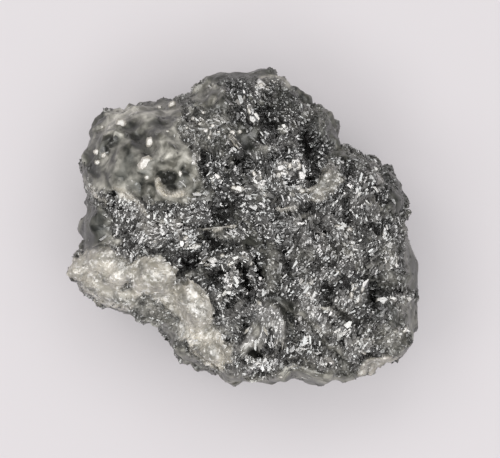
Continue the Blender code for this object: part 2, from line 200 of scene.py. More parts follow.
# Smooth valleys and ridges across the broken ground: path, half width
SMOOTH_PATHS = (
    (VALLEY, 0.12), (RIGHT_RIDGE, 0.05), (UPPER_RIDGE, 0.06), (RIGHT_CLEFT, 0.1),
    (((362, 300), (372, 306), (384, 316)), 0.08), (((232, 214), (246, 222), (262, 244), (268, 290)), 0.06),
    (((380, 178), (392, 176), (404, 186)), 0.07),
)
# Ridges, clefts and thin plates: path, half width, rise
PATHS = (
    (VALLEY, 0.12, -0.2), (RIGHT_RIDGE, 0.05, 0.14), (UPPER_RIDGE, 0.06, 0.12), (RIGHT_CLEFT, 0.1, -0.22),
    (MIDDLE_RIDGE, 0.05, 0.14), (SHORT_RIDGE, 0.045, 0.12),
    (((263, 300), (270, 296), (279, 299), (287, 308), (292, 320), (293, 345)), 0.16, -0.26),
    (((262, 294), (272, 291), (282, 294), (290, 300)), 0.07, 0.12),
    (((271, 330), (273, 338), (276, 345)), 0.05, -0.14), (((255, 348), (259, 355)), 0.07, -0.3),
    (((279, 348), (284, 354)), 0.06, -0.3), (((190, 341), (200, 352), (206, 362), (222, 369)), 0.05, -0.16),
    (((241, 264), (245, 276), (248, 288)), 0.12, -0.75),
    (((257, 256), (257, 266), (259, 275)), 0.09, -0.55), (((387, 291), (400, 291), (412, 293)), 0.07, -0.2),
    (((228, 380), (262, 371), (300, 366), (342, 369)), 0.05, -0.16),
    (((240, 386), (300, 375), (352, 379)), 0.04, -0.07),
    (((96, 143), (104, 128), (118, 116), (132, 111), (160, 114)), 0.2, 0.14), (GLINT_CRESCENT, 0.125, 0.2),
    (LEFT_RIM, 0.07, 0.08), (((100, 204), (130, 212), (160, 212), (192, 208)), 0.12, -0.08),
    (((186, 262), (180, 275), (186, 282)), 0.09, -0.4), (PALE_BAR, 0.06, 0.14),
)
# Paths painted pale: path, half width, how pale. On the crescent below a crater the paleness is a painted
# highlight.
PALE_AND_GLINT_PATHS = (
    (MIDDLE_RIDGE, 0.045, 0.9), (SHORT_RIDGE, 0.04, 0.8), (GLINT_CRESCENT, 0.125, 1.0),
    (((119, 190), (125, 193), (132, 199)), 0.1, 0.8), (((93, 186), (96, 192), (100, 198)), 0.05, 0.8),
    (LEFT_RIM, 0.06, 0.7), (((134, 198), (141, 206), (147, 214)), 0.05, 0.8), (PALE_BAR, 0.055, 1.0),
    (((261, 80), (271, 80), (281, 84)), 0.06, 0.6),
)


def spots(*rows):
    """Soft ellipses: place, half length and half width in mm, turn in degrees, amount.

    A row is the place's x and y, the half length and the half width in hundredths of a millimetre, the turn,
    and the amount in hundredths, which is 1 where it is left out.
    """
    return [
        ((x, y), (half_length / 100, half_width / 100), turn, amount[0] / 100 if amount else 1.0)
        for x, y, half_length, half_width, turn, *amount in rows
    ]


# Whiter places of the pale crust, greyer ones, and where it is broken away. On the crescent below a crater
# the whiter places are a painted highlight.
WHITER = spots(
    (173, 194, 50, 16, 10, 100), (161, 186, 14, 24, 20, 70), (126, 194, 30, 20, 0, 50),
    (192, 334, 32, 17, -32, 100), (97, 268, 50, 20, 10, 50), (222, 355, 12, 20, 0, 90),
    (218, 341, 20, 8, 10, 60), (110, 284, 70, 18, -14, 50), (160, 268, 40, 14, 0, 40),
    (192, 292, 24, 30, 40, 50), (137, 292, 20, 16, 0, 80), (160, 276, 26, 6, -10, 80),
)
GREYER = spots(
    (328, 178, 50, 70, 0, 62), (170, 262, 30, 20, 0, 30), (138, 300, 26, 12, -30, 80),
    (129, 284, 17, 10, 10, 100), (152, 304, 40, 22, -40, 90), (120, 258, 40, 12, -30, 50),
    (178, 322, 50, 16, -50, 80), (106, 278, 30, 6, -20, 50), (141, 268, 10, 26, 0, 50),
    (206, 330, 22, 10, 30, 40), (92, 290, 40, 7, -28, 70), (116, 300, 40, 9, -16, 80),
    (200, 352, 10, 30, 40, 50), (210, 350, 26, 22, -20, 50), (204, 312, 24, 30, 0, 30),
    (124, 262, 26, 12, -50, 80), (112, 260, 30, 20, 0, 30), (186, 300, 14, 50, 30, 40),
    (393, 353, 16, 12, 0, 100), (332, 186, 8, 20, -30, 40),
)
PALE_HOLES = spots(
    (129, 284, 17, 10, 10), (152, 303, 30, 13, -42), (172, 322, 26, 10, -50), (96, 292, 30, 5, -28),
)
# Lighter and darker ground, and by how much. It is partly the stone's own tone and partly painted light and
# shade, such as the lit crest of the upper left dome, its dark hollows and the left flank that faces away
# from the lights.
TONES_AND_PAINTED_LIGHT = spots(
    (156, 312, 80, 30, -42, 50), (143, 306, 16, 10, -40, -60), (166, 322, 14, 20, 20, -60),
    (160, 306, 20, 12, 0, -50), (230, 78, 110, 24, 3, -30), (206, 100, 50, 34, 0, -30),
    (125, 162, 60, 40, 0, -20), (140, 185, 60, 24, 0, -20), (188, 180, 30, 40, 0, -20),
    (96, 226, 50, 80, 0, -25), (394, 180, 60, 60, 0, -30), (414, 280, 20, 120, 0, -40),
    (390, 358, 60, 30, 30, -30), (240, 378, 80, 16, 0, 20), (128, 220, 80, 36, -4, 45),
    (130, 240, 60, 30, 0, 35), (165, 222, 50, 40, 0, 30), (206, 125, 60, 60, 0, 10),
    (280, 218, 50, 30, 0, 50), (218, 300, 30, 40, 0, 50), (318, 296, 60, 60, 0, 40),
    (350, 306, 60, 50, 0, 30), (240, 362, 50, 30, 0, 40), (280, 362, 50, 30, 0, 20),
    (190, 205, 60, 30, 0, 35), (302, 196, 50, 30, 0, 30), (288, 176, 60, 40, 0, 25),
    (340, 250, 50, 70, 0, 25), (380, 342, 40, 30, 0, 30), (232, 80, 130, 34, 3, -30),
    (250, 104, 90, 40, 0, -35), (296, 96, 60, 40, -30, -30), (118, 128, 40, 50, 30, 40),
    (160, 190, 60, 24, 10, 45), (184, 360, 50, 40, -40, 35), (205, 88, 50, 24, 10, 45),
    (252, 226, 40, 20, 0, -20), (242, 100, 40, 30, 0, -35), (360, 280, 40, 60, 0, -35),
    (200, 244, 40, 40, 0, -45), (260, 165, 40, 30, 0, -35), (326, 138, 70, 60, 60, -45),
    (222, 128, 50, 60, 0, -35), (378, 304, 50, 40, 0, -45), (250, 382, 30, 16, 0, 20),
    (262, 366, 80, 22, 0, 15), (318, 362, 50, 30, 0, 40), (135, 222, 90, 60, -6, 50),
    (195, 172, 30, 60, 10, 50), (366, 210, 60, 50, 0, 50), (308, 190, 50, 40, 0, 40),
    (308, 238, 60, 30, 10, 45), (234, 264, 30, 40, 0, 40), (182, 272, 24, 50, 20, 45),
    (324, 306, 50, 50, 0, 40), (370, 342, 60, 30, 20, 45), (402, 200, 40, 60, 20, -45),
    (382, 163, 60, 30, -30, -35), (402, 262, 30, 60, 0, -30), (96, 122, 30, 50, 0, -35),
    (98, 226, 40, 50, 0, -45), (402, 362, 50, 30, 30, -30), (180, 362, 90, 50, -40, -45),
    (82, 160, 30, 70, 0, -35), (162, 140, 30, 30, 0, -30), (310, 380, 120, 30, 0, 10),
    (272, 330, 50, 60, 0, -10), (290, 318, 18, 90, 14, -50), (273, 296, 34, 14, 0, -50),
    (262, 325, 60, 70, 0, 15), (281, 330, 24, 60, 5, 15), (258, 306, 20, 12, 40, 90),
    (104, 130, 20, 50, -25, 80), (130, 112, 85, 22, 10, 110), (168, 150, 40, 60, 0, 45),
    (164, 118, 50, 30, 0, 25), (140, 142, 50, 20, -52, -70), (110, 141, 34, 22, 15, -60),
    (158, 123, 28, 18, 0, -50), (188, 180, 36, 40, 0, -25), (93, 165, 22, 30, 0, -50),
    (126, 192, 20, 15, 0, 60), (172, 196, 50, 14, 0, 30), (101, 117, 20, 14, 20, -50),
    (206, 100, 40, 24, 0, 20), (170, 183, 30, 24, 0, -70), (92, 240, 34, 22, 0, -30),
    (246, 140, 40, 44, 0, -80), (250, 243, 24, 18, 0, -80), (391, 201, 32, 50, 0, -70),
    (255, 352, 30, 12, 0, -80), (230, 80, 80, 20, 0, -10), (409, 250, 15, 140, 0, 30),
    (200, 80, 40, 30, 0, 30), (120, 120, 40, 20, 0, 30), (100, 200, 40, 20, 0, 30),
    (110, 242, 60, 30, 0, 20), (180, 282, 20, 30, 0, 30), (220, 320, 40, 40, 0, 35),
    (300, 322, 30, 40, 0, 25), (280, 340, 30, 30, 0, 20), (400, 350, 40, 40, 0, 30),
    (180, 362, 50, 30, -40, 30), (262, 366, 60, 30, 0, 25), (262, 380, 50, 20, 0, 30),
    (322, 378, 80, 20, 0, 20), (362, 202, 30, 30, 0, 25), (344, 180, 30, 50, 0, -80),
    (282, 380, 40, 16, 0, -40), (278, 80, 50, 14, -10, 60), (200, 162, 30, 50, 0, 20),
    (362, 180, 30, 30, 0, -25), (270, 224, 40, 30, 0, 25), (240, 100, 40, 30, 0, -30),
    (278, 126, 50, 50, 0, -30), (180, 160, 30, 40, 0, -10), (184, 106, 30, 30, 0, 20),
    (120, 222, 40, 30, 0, -25), (300, 158, 40, 40, 0, -20), (220, 180, 40, 30, 0, -25),
    (282, 240, 40, 30, 0, -20), (360, 240, 30, 30, 0, -25), (220, 282, 30, 30, 0, -30),
    (290, 280, 50, 34, 0, -30), (372, 284, 40, 34, 0, -25), (384, 304, 40, 40, 0, -30),
    (400, 322, 30, 30, 0, -20),
)
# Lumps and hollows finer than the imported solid's, and how far they rise in mm
LUMPS = spots(
    (141, 141, 48, 20, -52, -42), (158, 123, 30, 20, 0, -26), (110, 141, 36, 22, 15, -28),
    (93, 163, 22, 30, 0, -24), (171, 177, 16, 15, 0, -36), (163, 181, 10, 13, 0, -28),
    (171, 189, 18, 12, 10, -34), (149, 189, 12, 12, 0, -16), (101, 117, 18, 13, 20, -20),
    (188, 181, 34, 36, 0, -14), (126, 166, 40, 34, 0, 12), (168, 152, 36, 44, 0, 14),
    (184, 200, 44, 20, 20, 12), (206, 100, 36, 26, 0, 16), (172, 104, 30, 24, 0, 16),
    (96, 157, 24, 26, 0, 16), (88, 132, 16, 44, 0, 14), (195, 107, 12, 40, 10, -16),
    (129, 284, 14, 8, 10, -14), (157, 274, 58, 34, -4, 26), (195, 300, 38, 60, 24, 20),
    (212, 350, 38, 30, -45, 14), (141, 268, 12, 30, 0, -18), (104, 254, 36, 18, 0, 16),
    (178, 288, 14, 34, 30, -26), (204, 328, 30, 10, 20, -16), (78, 268, 26, 26, 0, 12),
    (204, 160, 14, 46, 6, -50), (212, 160, 12, 16, 0, -26), (268, 121, 44, 28, -12, -60),
    (246, 140, 24, 30, 0, -22), (256, 118, 10, 34, 26, 22), (305, 148, 20, 36, 12, -45),
    (300, 122, 40, 40, 0, 18), (262, 92, 50, 30, 0, 22), (322, 130, 10, 70, 20, -20),
    (281, 171, 34, 28, 0, 22), (299, 167, 22, 22, 0, 24), (289, 160, 6, 30, 0, -20),
    (310, 180, 10, 18, 10, -30), (307, 210, 26, 17, -10, -40), (367, 178, 55, 45, 0, 24),
    (391, 203, 22, 36, 0, 24), (345, 205, 12, 50, 10, -26), (367, 227, 30, 14, 8, -22),
    (385, 250, 45, 42, 0, 20), (362, 262, 12, 44, 0, -26), (396, 318, 42, 42, 0, 22),
    (372, 330, 10, 38, 20, -28), (357, 294, 26, 42, -10, 32), (371, 294, 9, 40, -8, -50),
    (328, 291, 14, 30, 10, -36), (310, 289, 24, 42, 8, 28), (330, 277, 28, 18, -30, 26),
    (342, 312, 50, 8, -40, -26), (363, 346, 36, 22, 20, 26), (373, 357, 13, 13, 0, -34),
    (322, 352, 8, 36, 30, -28), (227, 209, 36, 36, 0, -34), (272, 232, 60, 42, -10, 16),
    (250, 243, 26, 20, 0, -26), (222, 243, 50, 16, -8, -28), (237, 274, 20, 26, 0, 26),
    (240, 258, 34, 10, -12, 22), (191, 262, 16, 42, -30, -44), (189, 241, 34, 34, 0, 22),
    (212, 275, 34, 22, 30, -30), (262, 352, 40, 12, -8, -50), (150, 222, 80, 10, -10, -6),
    (135, 236, 30, 24, 0, 16), (170, 228, 26, 24, 0, 16), (150, 250, 70, 12, -4, -15),
    (235, 160, 40, 8, -50, -26), (228, 176, 34, 20, 20, 16), (287, 268, 7, 50, 10, -26),
    (300, 258, 34, 16, 40, 16), (271, 272, 18, 55, 4, 16), (244, 330, 10, 50, -25, -24),
    (330, 240, 8, 50, 30, -26), (318, 252, 30, 24, 0, 16), (228, 318, 34, 34, 0, 18),
    (236, 300, 40, 8, 40, -26), (388, 358, 50, 20, 25, 14), (393, 353, 15, 12, 0, -18),
    (326, 178, 18, 34, -25, 20), (349, 232, 30, 22, 0, 20), (104, 170, 10, 30, 20, 10),
)
# Smooth places, where the ground keeps near its level, and how nearly
CALM = spots(
    (88, 226, 80, 90, 0, 80), (416, 262, 40, 130, 0, 50), (300, 380, 200, 36, 3, 75),
    (416, 318, 34, 50, 0, 50),
)
# Patches whose slivers turn a face to a light, their ground and crystals lighter as a painted highlight, and
# patches without
BRIGHT = spots(
    (281, 170, 30, 26, 0), (299, 166, 22, 24, 0), (257, 179, 34, 11, -55), (237, 189, 20, 12, 0),
    (265, 194, 16, 12, -20), (302, 192, 20, 16, 0), (313, 198, 12, 5, -20), (308, 289, 20, 38, 10),
    (329, 278, 26, 17, -30), (357, 292, 20, 38, -12), (363, 346, 36, 20, 20), (309, 342, 26, 22, 30),
    (330, 362, 26, 16, 0), (189, 240, 30, 30, 0), (197, 247, 18, 14, 0), (244, 258, 22, 9, -10),
    (232, 261, 18, 12, 30), (251, 264, 9, 12, 0), (238, 276, 18, 26, 0), (358, 187, 30, 30, -30),
    (352, 245, 22, 14, 0), (348, 229, 28, 14, 0), (377, 180, 18, 36, 8), (387, 237, 14, 34, 8),
    (390, 260, 26, 26, 0), (404, 300, 22, 18, 0), (402, 330, 22, 12, 0), (200, 122, 16, 10, -20),
    (214, 134, 10, 10, 0), (254, 116, 14, 34, 25), (224, 298, 22, 18, 40), (207, 262, 26, 12, 0),
    (170, 226, 50, 16, -10), (262, 86, 16, 12, 0), (240, 100, 30, 10, 30), (284, 128, 20, 10, 0),
    (196, 160, 12, 20, 0), (344, 330, 30, 12, 30), (386, 300, 30, 10, 0), (216, 180, 24, 16, 0),
    (160, 240, 30, 12, 0), (228, 282, 14, 20, 0), (320, 330, 30, 14, 50), (263, 364, 50, 12, 0),
    (298, 347, 26, 20, 30),
)
# The patches without are darkened, partly the stone's dark colour and partly painted shade, as most of them
# lie in hollows and clefts
DARK = spots(
    (227, 210, 40, 46, 0), (268, 121, 44, 30, 0), (305, 149, 20, 34, 0), (307, 210, 26, 17, 0),
    (367, 226, 18, 10, 0), (183, 262, 22, 34, 20), (244, 277, 14, 44, -15), (257, 266, 9, 36, 5),
    (204, 162, 12, 40, 5), (328, 291, 16, 28, 0), (371, 293, 12, 40, 0), (262, 350, 40, 14, 0),
    (310, 180, 8, 16, 0), (246, 302, 34, 12, 40), (215, 315, 18, 34, 20), (222, 244, 50, 16, 0),
    (290, 100, 20, 20, 0), (246, 158, 40, 12, -45), (315, 165, 10, 40, 0), (212, 160, 12, 16, 0),
    (373, 357, 13, 13, 0), (398, 292, 30, 5, 0), (190, 282, 10, 20, 0), (330, 305, 40, 12, -40),
    (139, 143, 42, 13, -52), (110, 141, 26, 15, 15), (158, 123, 22, 13, 0), (171, 177, 13, 12, 0),
    (163, 181, 8, 11, 0), (171, 188, 15, 7, 10), (93, 165, 12, 22, 0), (101, 117, 14, 9, 20),
    (195, 107, 7, 28, 10), (284, 311, 6, 36, 24), (289, 330, 6, 50, 0), (272, 297, 26, 6, 10),
    (215, 282, 26, 26, 0), (198, 266, 22, 16, 0), (376, 186, 8, 30, 10), (129, 284, 15, 8, 10),
    (236, 78, 40, 12, 0), (263, 116, 24, 24, -30), (278, 126, 26, 22, 0), (310, 138, 26, 30, 0),
    (310, 156, 24, 32, 0), (342, 178, 14, 34, 0), (320, 176, 10, 30, 20), (232, 145, 16, 14, 0),
    (376, 296, 20, 34, 0), (222, 202, 34, 20, 0), (240, 160, 16, 20, 0), (290, 272, 12, 34, 0),
)
# Single facets that mirror a light
PLATES = spots(
    (150, 142, 18, 13, 80), (146, 163, 29, 18, 50), (96.6, 152.4, 11, 10, 0), (104, 155.6, 11, 10, 30),
    (97.6, 162.4, 10, 9, 0), (172, 104, 14, 11, 40), (159, 107, 8, 8, 0), (121, 123, 20, 17, 0),
    (168, 132, 6, 5, 0), (148, 178, 9, 9, 0), (181, 174, 7, 12, 0), (198, 194, 10, 7, 20),
    (102, 127, 7, 6, 0), (244, 258, 19, 8, 10), (223, 256, 12, 7, -30), (234, 259, 9, 8, 0),
    (230, 264, 10, 6, 30), (251, 263, 6, 9, 0), (250.5, 276, 5, 9, 0), (188, 289, 9, 7, 40),
    (196, 301, 8, 6, 60), (197, 316, 7, 7, 0), (163, 275, 12, 3.5, -15), (156, 268, 8, 4, 0),
    (328, 181, 7, 4, 30), (281, 377, 7, 4, 0), (405, 330, 12, 7, 60), (395, 331, 7, 6, 0),
    (233, 133, 10, 9, 0), (240, 132, 8, 8, 0), (200, 124, 7, 5, 20), (217, 120, 7, 6, 0),
    (209, 138, 6, 7, 0), (203, 113, 6, 6, 0), (187, 128, 6, 5, 0), (219, 132, 7, 6, 40),
    (250, 112, 8, 12, 20), (261, 86, 10, 11, 0), (267, 88, 7, 6, 0), (194, 119, 10, 8, 0),
    (206, 131, 10, 8, 40), (213, 126, 8, 7, 0), (338, 227, 12, 10, 0), (349, 230, 14, 10, 30),
    (353, 246, 12, 8, 0), (283, 168, 14, 16, 30), (298, 166, 12, 14, 0), (264, 194, 13, 7, -40),
    (240, 189, 12, 10, 0), (302, 191, 12, 10, 0), (187, 238, 14, 10, 30), (196, 246, 10, 8, 0),
    (330, 276, 15, 9, -25), (384, 236, 6, 18, 8), (356, 290, 10, 16, 0), (307, 286, 9, 18, 0),
    (362, 352, 5, 16, 60), (366, 348, 16, 4, 20), (290, 166, 8, 10, 0), (354, 283, 10, 15, -10),
    (358, 298, 11, 14, -10), (362, 288, 8, 14, -12), (351, 294, 7, 12, 0), (286, 173, 10, 8, 0),
    (279, 175, 9, 10, 0), (301, 172, 10, 8, 20), (260, 188, 12, 6, -50), (254, 174, 13, 6, -60),
    (234, 188, 9, 8, 0), (306, 195, 8, 7, 0), (299, 188, 8, 6, 0), (311, 282, 8, 10, 0),
    (305, 293, 8, 12, 0), (337, 272, 10, 7, -20),
)
PLATE_RIM = 14  # corners
PLATE_RINGS = ((1.0, -0.10), (0.86, 0.0), (0.5, 0.012), (0.0, 0.016))  # share of its size, rise in mm

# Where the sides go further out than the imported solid's: degrees round from the right, half spread, how far
PUSHES = (
    (17, 9, 0.14), (43, 6, -0.16), (56, 5, 0.14), (75, 9, 0.17), (97, 7, 0.18), (122, 9, -0.1),
    (137, 6, -0.12), (160, 8, 0.12), (187, 6, -0.13), (208, 10, 0.24), (246, 7, 0.2), (256, 3, -0.1),
    (272, 10, 0.09), (304, 9, 0.15), (315, 3, -0.14), (325, 7, 0.24), (349, 9, 0.16), (1, 4, -0.12),
    (291, 6, -0.25), (310, 3, 0.05), (135, 3, -0.06), (320, 3, 0.04), (200, 3, 0.13), (218, 5, 0.09),
    (70, 3, 0.1), (131, 4, 0.1), (105, 3, -0.08), (115, 3, -0.1), (125, 3, -0.08), (145, 3, -0.08),
    (177, 5, 0.14), (195, 3, -0.08), (225, 3, -0.08), (240, 3, 0.09), (265, 4, 0.08), (284, 4, 0.14),
    (345, 4, 0.08),
)
# Long pale needles lying on the stone: ends, half width
NEEDLES = (
    ((228, 137), (241, 151), 0.045), ((231, 135), (242, 147), 0.028), ((226, 139), (236, 149), 0.02),
    ((277, 210), (298, 206), 0.03), ((200, 229), (238, 226), 0.022), ((263, 325), (268, 336), 0.05),
    ((257, 300), (262, 306), 0.07), ((283, 334), (282, 351), 0.04), ((244, 334), (250, 326), 0.05),
)
NEEDLE_REACH = 0.12  # mm from an end within which the ground gives its height
# The leaf of ribs: its outline, the place that its ribs run from, and the ribs' spacing, length and height
LEAF = (
    (259, 303), (265, 299), (273, 302), (280, 307), (285, 316), (288, 328), (288, 342), (286, 353),
    (280, 352), (276, 344), (268, 334), (263, 345), (258, 353), (251, 350), (245, 357), (236, 351),
    (238, 340), (246, 330), (253, 320), (259, 311),
)
LEAF_EDGE = 0.07
RIBS_FROM = (286, 284)
RIB, RIB_LENGTH, RIB_HEIGHT = 4.6, 0.6, 0.060  # degrees, mm, mm
# Ground whose grains run one way: place, half length and half width, turn, way in degrees
GRAINED = (
    ((345, 320), (2.2, 1.5), -35, 58), ((330, 350), (2.6, 0.7), 0, 70), ((385, 195), (0.9, 1.5), 0, 78),
    ((250, 120), (0.9, 0.9), 0, 112), ((360, 270), (1.2, 0.9), 0, 55), ((190, 250), (1.2, 0.6), 0, 30),
)

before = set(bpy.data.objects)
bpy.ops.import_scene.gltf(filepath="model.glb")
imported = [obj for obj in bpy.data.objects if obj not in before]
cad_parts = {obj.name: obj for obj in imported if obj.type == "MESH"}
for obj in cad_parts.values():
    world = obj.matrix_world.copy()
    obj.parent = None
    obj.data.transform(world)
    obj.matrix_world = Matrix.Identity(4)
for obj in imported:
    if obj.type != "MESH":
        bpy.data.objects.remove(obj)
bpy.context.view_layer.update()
rng = np.random.default_rng(SEED)


def normalised(vectors):
    """The vectors at a length of 1."""
    return vectors / np.linalg.norm(vectors, axis=-1, keepdims=True)


# Random ways and places that the cells of a lattice choose from
WAYS = normalised(rng.normal(size=(256, 3)))
CELL_PLACES = rng.random((256, 3))
CELL_VALUES = rng.random(256)


def hashed(cells, seed):
    """A number from 0 to 255 for each cell of a lattice."""
    x, y, z = cells[:, 0], cells[:, 1], cells[:, 2]
    mixed = (x * 73856093) ^ (y * 19349663) ^ (z * 83492791) ^ (seed * 6542989)
    mixed = (mixed ^ (mixed >> 13)) * 1274126177
    return (mixed ^ (mixed >> 16)) & 255


def noise_at(points, size, seed=0):
    """Smooth noise from about -1 to 1, its lumps one size in mm."""
    scaled = points / size
    cells = np.floor(scaled).astype(np.int64)
    inside = scaled - cells
    ease = inside**3 * (inside * (inside * 6 - 15) + 10)
    total = np.zeros(len(points))
    for corner in itertools.product((0, 1), repeat=3):
        weight = np.prod(np.where(corner, ease, 1 - ease), axis=1)
        total += weight * ((inside - corner) * WAYS[hashed(cells + corner, seed)]).sum(axis=1)
    return NOISE_REACH * total


def layered(points, layers, start=0.0):
    """The start and the layers of noise together."""
    return sum((height * noise_at(points, size, seed) for size, height, seed in layers), start)


def neighbours(scaled, seed):
    """For each cell round each point, the cell's number and the point's way from the cell's middle."""
    cells = np.floor(scaled).astype(np.int64)
    for step in itertools.product((-1, 0, 1), repeat=3):
        cell = cells + step
        number = hashed(cell, seed)
        yield number, scaled - cell - CELL_PLACES[number]


def nearest_cells(scaled, seed):
    """For each point the number of the cell that it is in, and its way from that cell's middle."""
    nearest = np.full(len(scaled), np.inf)
    numbers = np.zeros(len(scaled), int)
    way = np.zeros_like(scaled)
    for number, away in neighbours(scaled, seed):
        distance = (away**2).sum(axis=1)
        closer = distance < nearest
        nearest[closer], numbers[closer], way[closer] = distance[closer], number[closer], away[closer]
    return numbers, way


def crevices(points, size, width, seed):
    """1 along the joints between grains of one size, and 0 away from them."""
    distances = [np.linalg.norm(away, axis=1) for _, away in neighbours(points / size, seed)]
    first, second = np.partition(np.array(distances), 1, axis=0)[:2]
    return np.exp(-((size * (second - first) / (2 * width)) ** 2))


def at_pixel(place):
    """A place of the picture, in mm."""
    return (place[0] - ORIGIN_PIXEL[0]) * PIXEL, (ORIGIN_PIXEL[1] - place[1]) * PIXEL


def ellipse_share(points, ellipse, steepness=2.0):
    """1 in the middle of a soft ellipse seen from above, and 0 well outside it."""
    place, (half_length, half_width), turn = ellipse[:3]
    at_x, at_y = at_pixel(place)
    cos, sin = math.cos(math.radians(turn)), math.sin(math.radians(turn))
    along = ((points[:, 0] - at_x) * cos + (points[:, 1] - at_y) * sin) / half_length
    across = ((points[:, 1] - at_y) * cos - (points[:, 0] - at_x) * sin) / half_width
    return np.exp(-((along**2 + across**2) ** steepness))


def path_distance(points, path):
    """How far each point is from a path, seen from above."""
    nearest = np.full(len(points), np.inf)
    for start, end in itertools.pairwise(np.array([at_pixel(place) for place in path])):
        away, along = points[:, :2] - start, end - start
        share = np.clip(away @ along / (along @ along), 0, 1)
        nearest = np.minimum(nearest, np.linalg.norm(away - share[:, None] * along, axis=1))
    return nearest


def path_share(points, path, half_width):
    """1 along a path seen from above, and 0 away from it."""
    return np.exp(-((path_distance(points, path) / half_width) ** 4))


def outline_share(points, outline, soft=0.16):
    """1 inside an outline seen from above and 0 outside it, fading over a soft edge."""
    corners = np.array([at_pixel(place) for place in outline])
    x, y = points[:, 0], points[:, 1]
    inside = np.zeros(len(points), bool)
    for (x0, y0), (x1, y1) in zip(corners, np.roll(corners, -1, axis=0)):
        crosses = (y0 > y) != (y1 > y)
        inside ^= crosses & (x < (x1 - x0) * (y - y0) / (y1 - y0 + 1e-12) + x0)
    distance = path_distance(points, (*outline, outline[0]))
    return np.clip(0.5 + np.where(inside, distance, -distance) / soft, 0, 1)


def ramped(values, start, width):
    """0 up to the start, and 1 from the width past it."""
    return np.clip((values - start) / width, 0, 1)


def most_of(shares):
    """The largest of the shares at each point."""
    return np.max(list(shares), axis=0)


def strongest(points, rows, steepness=2.0):
    """The largest share that any of the spots has at each point."""
    return most_of(row[3] * ellipse_share(points, row, steepness) for row in rows)


def high_share(points):
    """1 well above the floor, and 0 near it."""
    return ramped(points[:, 2], UPPER_FROM, UPPER_FADE)


def upper_share(points, normals):
    """1 on the upper side, which the picture shows, fading down the steep sides and below."""
    return high_share(points) * ramped(normals[:, 2], FACING_FROM, FACING_FADE)


def wobbled(points, reach=0.15):
    """The points moved a little about, so that patches get uneven edges."""
    size, seeds = WOBBLE
    return points + reach * np.stack([noise_at(points, size, seed) for seed in seeds], axis=1)


def pushed_out(points):
    """The points after the sides are moved out or in."""
    reach = np.hypot(points[:, 0], points[:, 1])
    way = np.degrees(np.arctan2(points[:, 1], points[:, 0]))
    turns = [((way - at + 180) % 360 - 180) / spread for at, spread, _ in PUSHES]
    push = sum(far * np.exp(-(turn**2)) for turn, (_, _, far) in zip(turns, PUSHES))
    share = push * ramped(reach, PUSH_FROM, PUSH_FADE) / np.maximum(reach, 0.1)
    return points * (1 + share[:, None] * np.array((1, 1, 0)))


def grounds(points, normals):
    """How far each point's ground is glassy, and how far it is pale crust."""
    moved = wobbled(points)
    upper = upper_share(points, normals)
    pale = most_of(outline_share(moved, outline, PALE_EDGE) for outline in PALE) * upper
    pale *= 1 - strongest(moved, PALE_HOLES) * np.clip(0.9 + 0.6 * noise_at(points, 0.12, 87), 0.3, 1)
    # Pale paths, among them the crescent painted pale as a highlight
    pale_and_glint_paths = most_of(share * path_share(points, path, width) for path, width, share in PALE_AND_GLINT_PATHS)
    pale = np.maximum(pale, pale_and_glint_paths * upper)
    glass = most_of(outline_share(moved, outline, GLASS_EDGE) for outline in GLASS)
    half = most_of(outline_share(moved, outline, HALF_EDGE) for outline in HALF_GLASS)
    bare = ramped(bare_share(points), 0.45, 0.3)
    paths = most_of(path_share(moved, path, width) for path, width in SMOOTH_PATHS)
    glass = most_of((glass, 0.6 * half, 0.8 * bare, 0.85 * paths)) * high_share(points)
    # The sides are glassy in patches
    patches = np.clip(layered(points, SIDE_LAYERS, 0.42), 0.10, 0.95)
    side = ramped(-normals[:, 2], -0.50, 0.25) * patches
    return np.clip(np.maximum(glass, side), 0, 1), pale


def calm_share(points):
    """How far the ground keeps near its level."""
    return strongest(points, CALM, 1.5)


def bare_share(points):
    """How bare the broken ground is of crystals, which varies over lumps of two sizes."""
    return np.clip(layered(points, BARE_LAYERS, 0.30), 0, 0.85)


def leaf_share(points, normals):
    """How far each point is on the leaf of ribs, and the way and the distance from where they start."""
    at_x, at_y = at_pixel(RIBS_FROM)
    x, y = points[:, 0] - at_x, points[:, 1] - at_y
    share = outline_share(points, LEAF, LEAF_EDGE) * upper_share(points, normals)
    return share, np.degrees(np.arctan2(y, x)) % 360, np.hypot(x, y)


def streak_ways(points, normals):
    """The way along the surface that each point's grain runs."""
    number, _ = nearest_cells(wobbled(points, 0.12) / GRAIN, GRAIN_SEED)
    angle = 180 * CELL_VALUES[number]
    for *ellipse, way in GRAINED:
        share = ellipse_share(points, ellipse, 1.5)
        angle = np.where(share > 0.3, way + 40 * (CELL_VALUES[number] - 0.5), angle)
    leaf, way, _ = leaf_share(points, normals)
    angle = np.radians(np.where(leaf > 0.5, way, angle))
    ways = np.stack([np.cos(angle), np.sin(angle), np.full(len(points), 0.2)], axis=1)
    ways -= normals * (ways * normals).sum(axis=1, keepdims=True)
    return normalised(ways + 1e-6), number


def facet_rise(points, ways, width, length, tilt, seed):
    """How far points rise where the ground is broken into long cells, which lean their own ways."""
    along = (points * ways).sum(axis=1, keepdims=True)
    scaled = (points + ways * along * (width / length - 1)) / width
    number, away = nearest_cells(scaled, seed)
    return tilt * width * (away * WAYS[number]).sum(axis=1)


def read(items, name, kind=np.float32):
    """Three values from each of a mesh's items."""
    values = np.empty(len(items) * 3, kind)
    items.foreach_get(name, values)
    return values.reshape(-1, 3)


def mesh_points(mesh):
    """A mesh's points."""
    return read(mesh.vertices, "co").astype(float)


def vertex_normals(mesh):
    """The way that each of a mesh's points faces."""
    return read(mesh.vertex_normals, "vector").astype(float)


def triangles(mesh):
    """The points of each of a mesh's triangles."""
    mesh.calc_loop_triangles()
    return read(mesh.loop_triangles, "vertices", np.int32)


def put(name, data):
    """A new object of this data, in the scene."""
    made = bpy.data.objects.new(name, data)
    bpy.context.scene.collection.objects.link(made)
    return made


def evaluated(made):
    """The object's mesh after its modifiers."""
    graph = bpy.context.evaluated_depsgraph_get()
    return bpy.data.meshes.new_from_object(made.evaluated_get(graph))


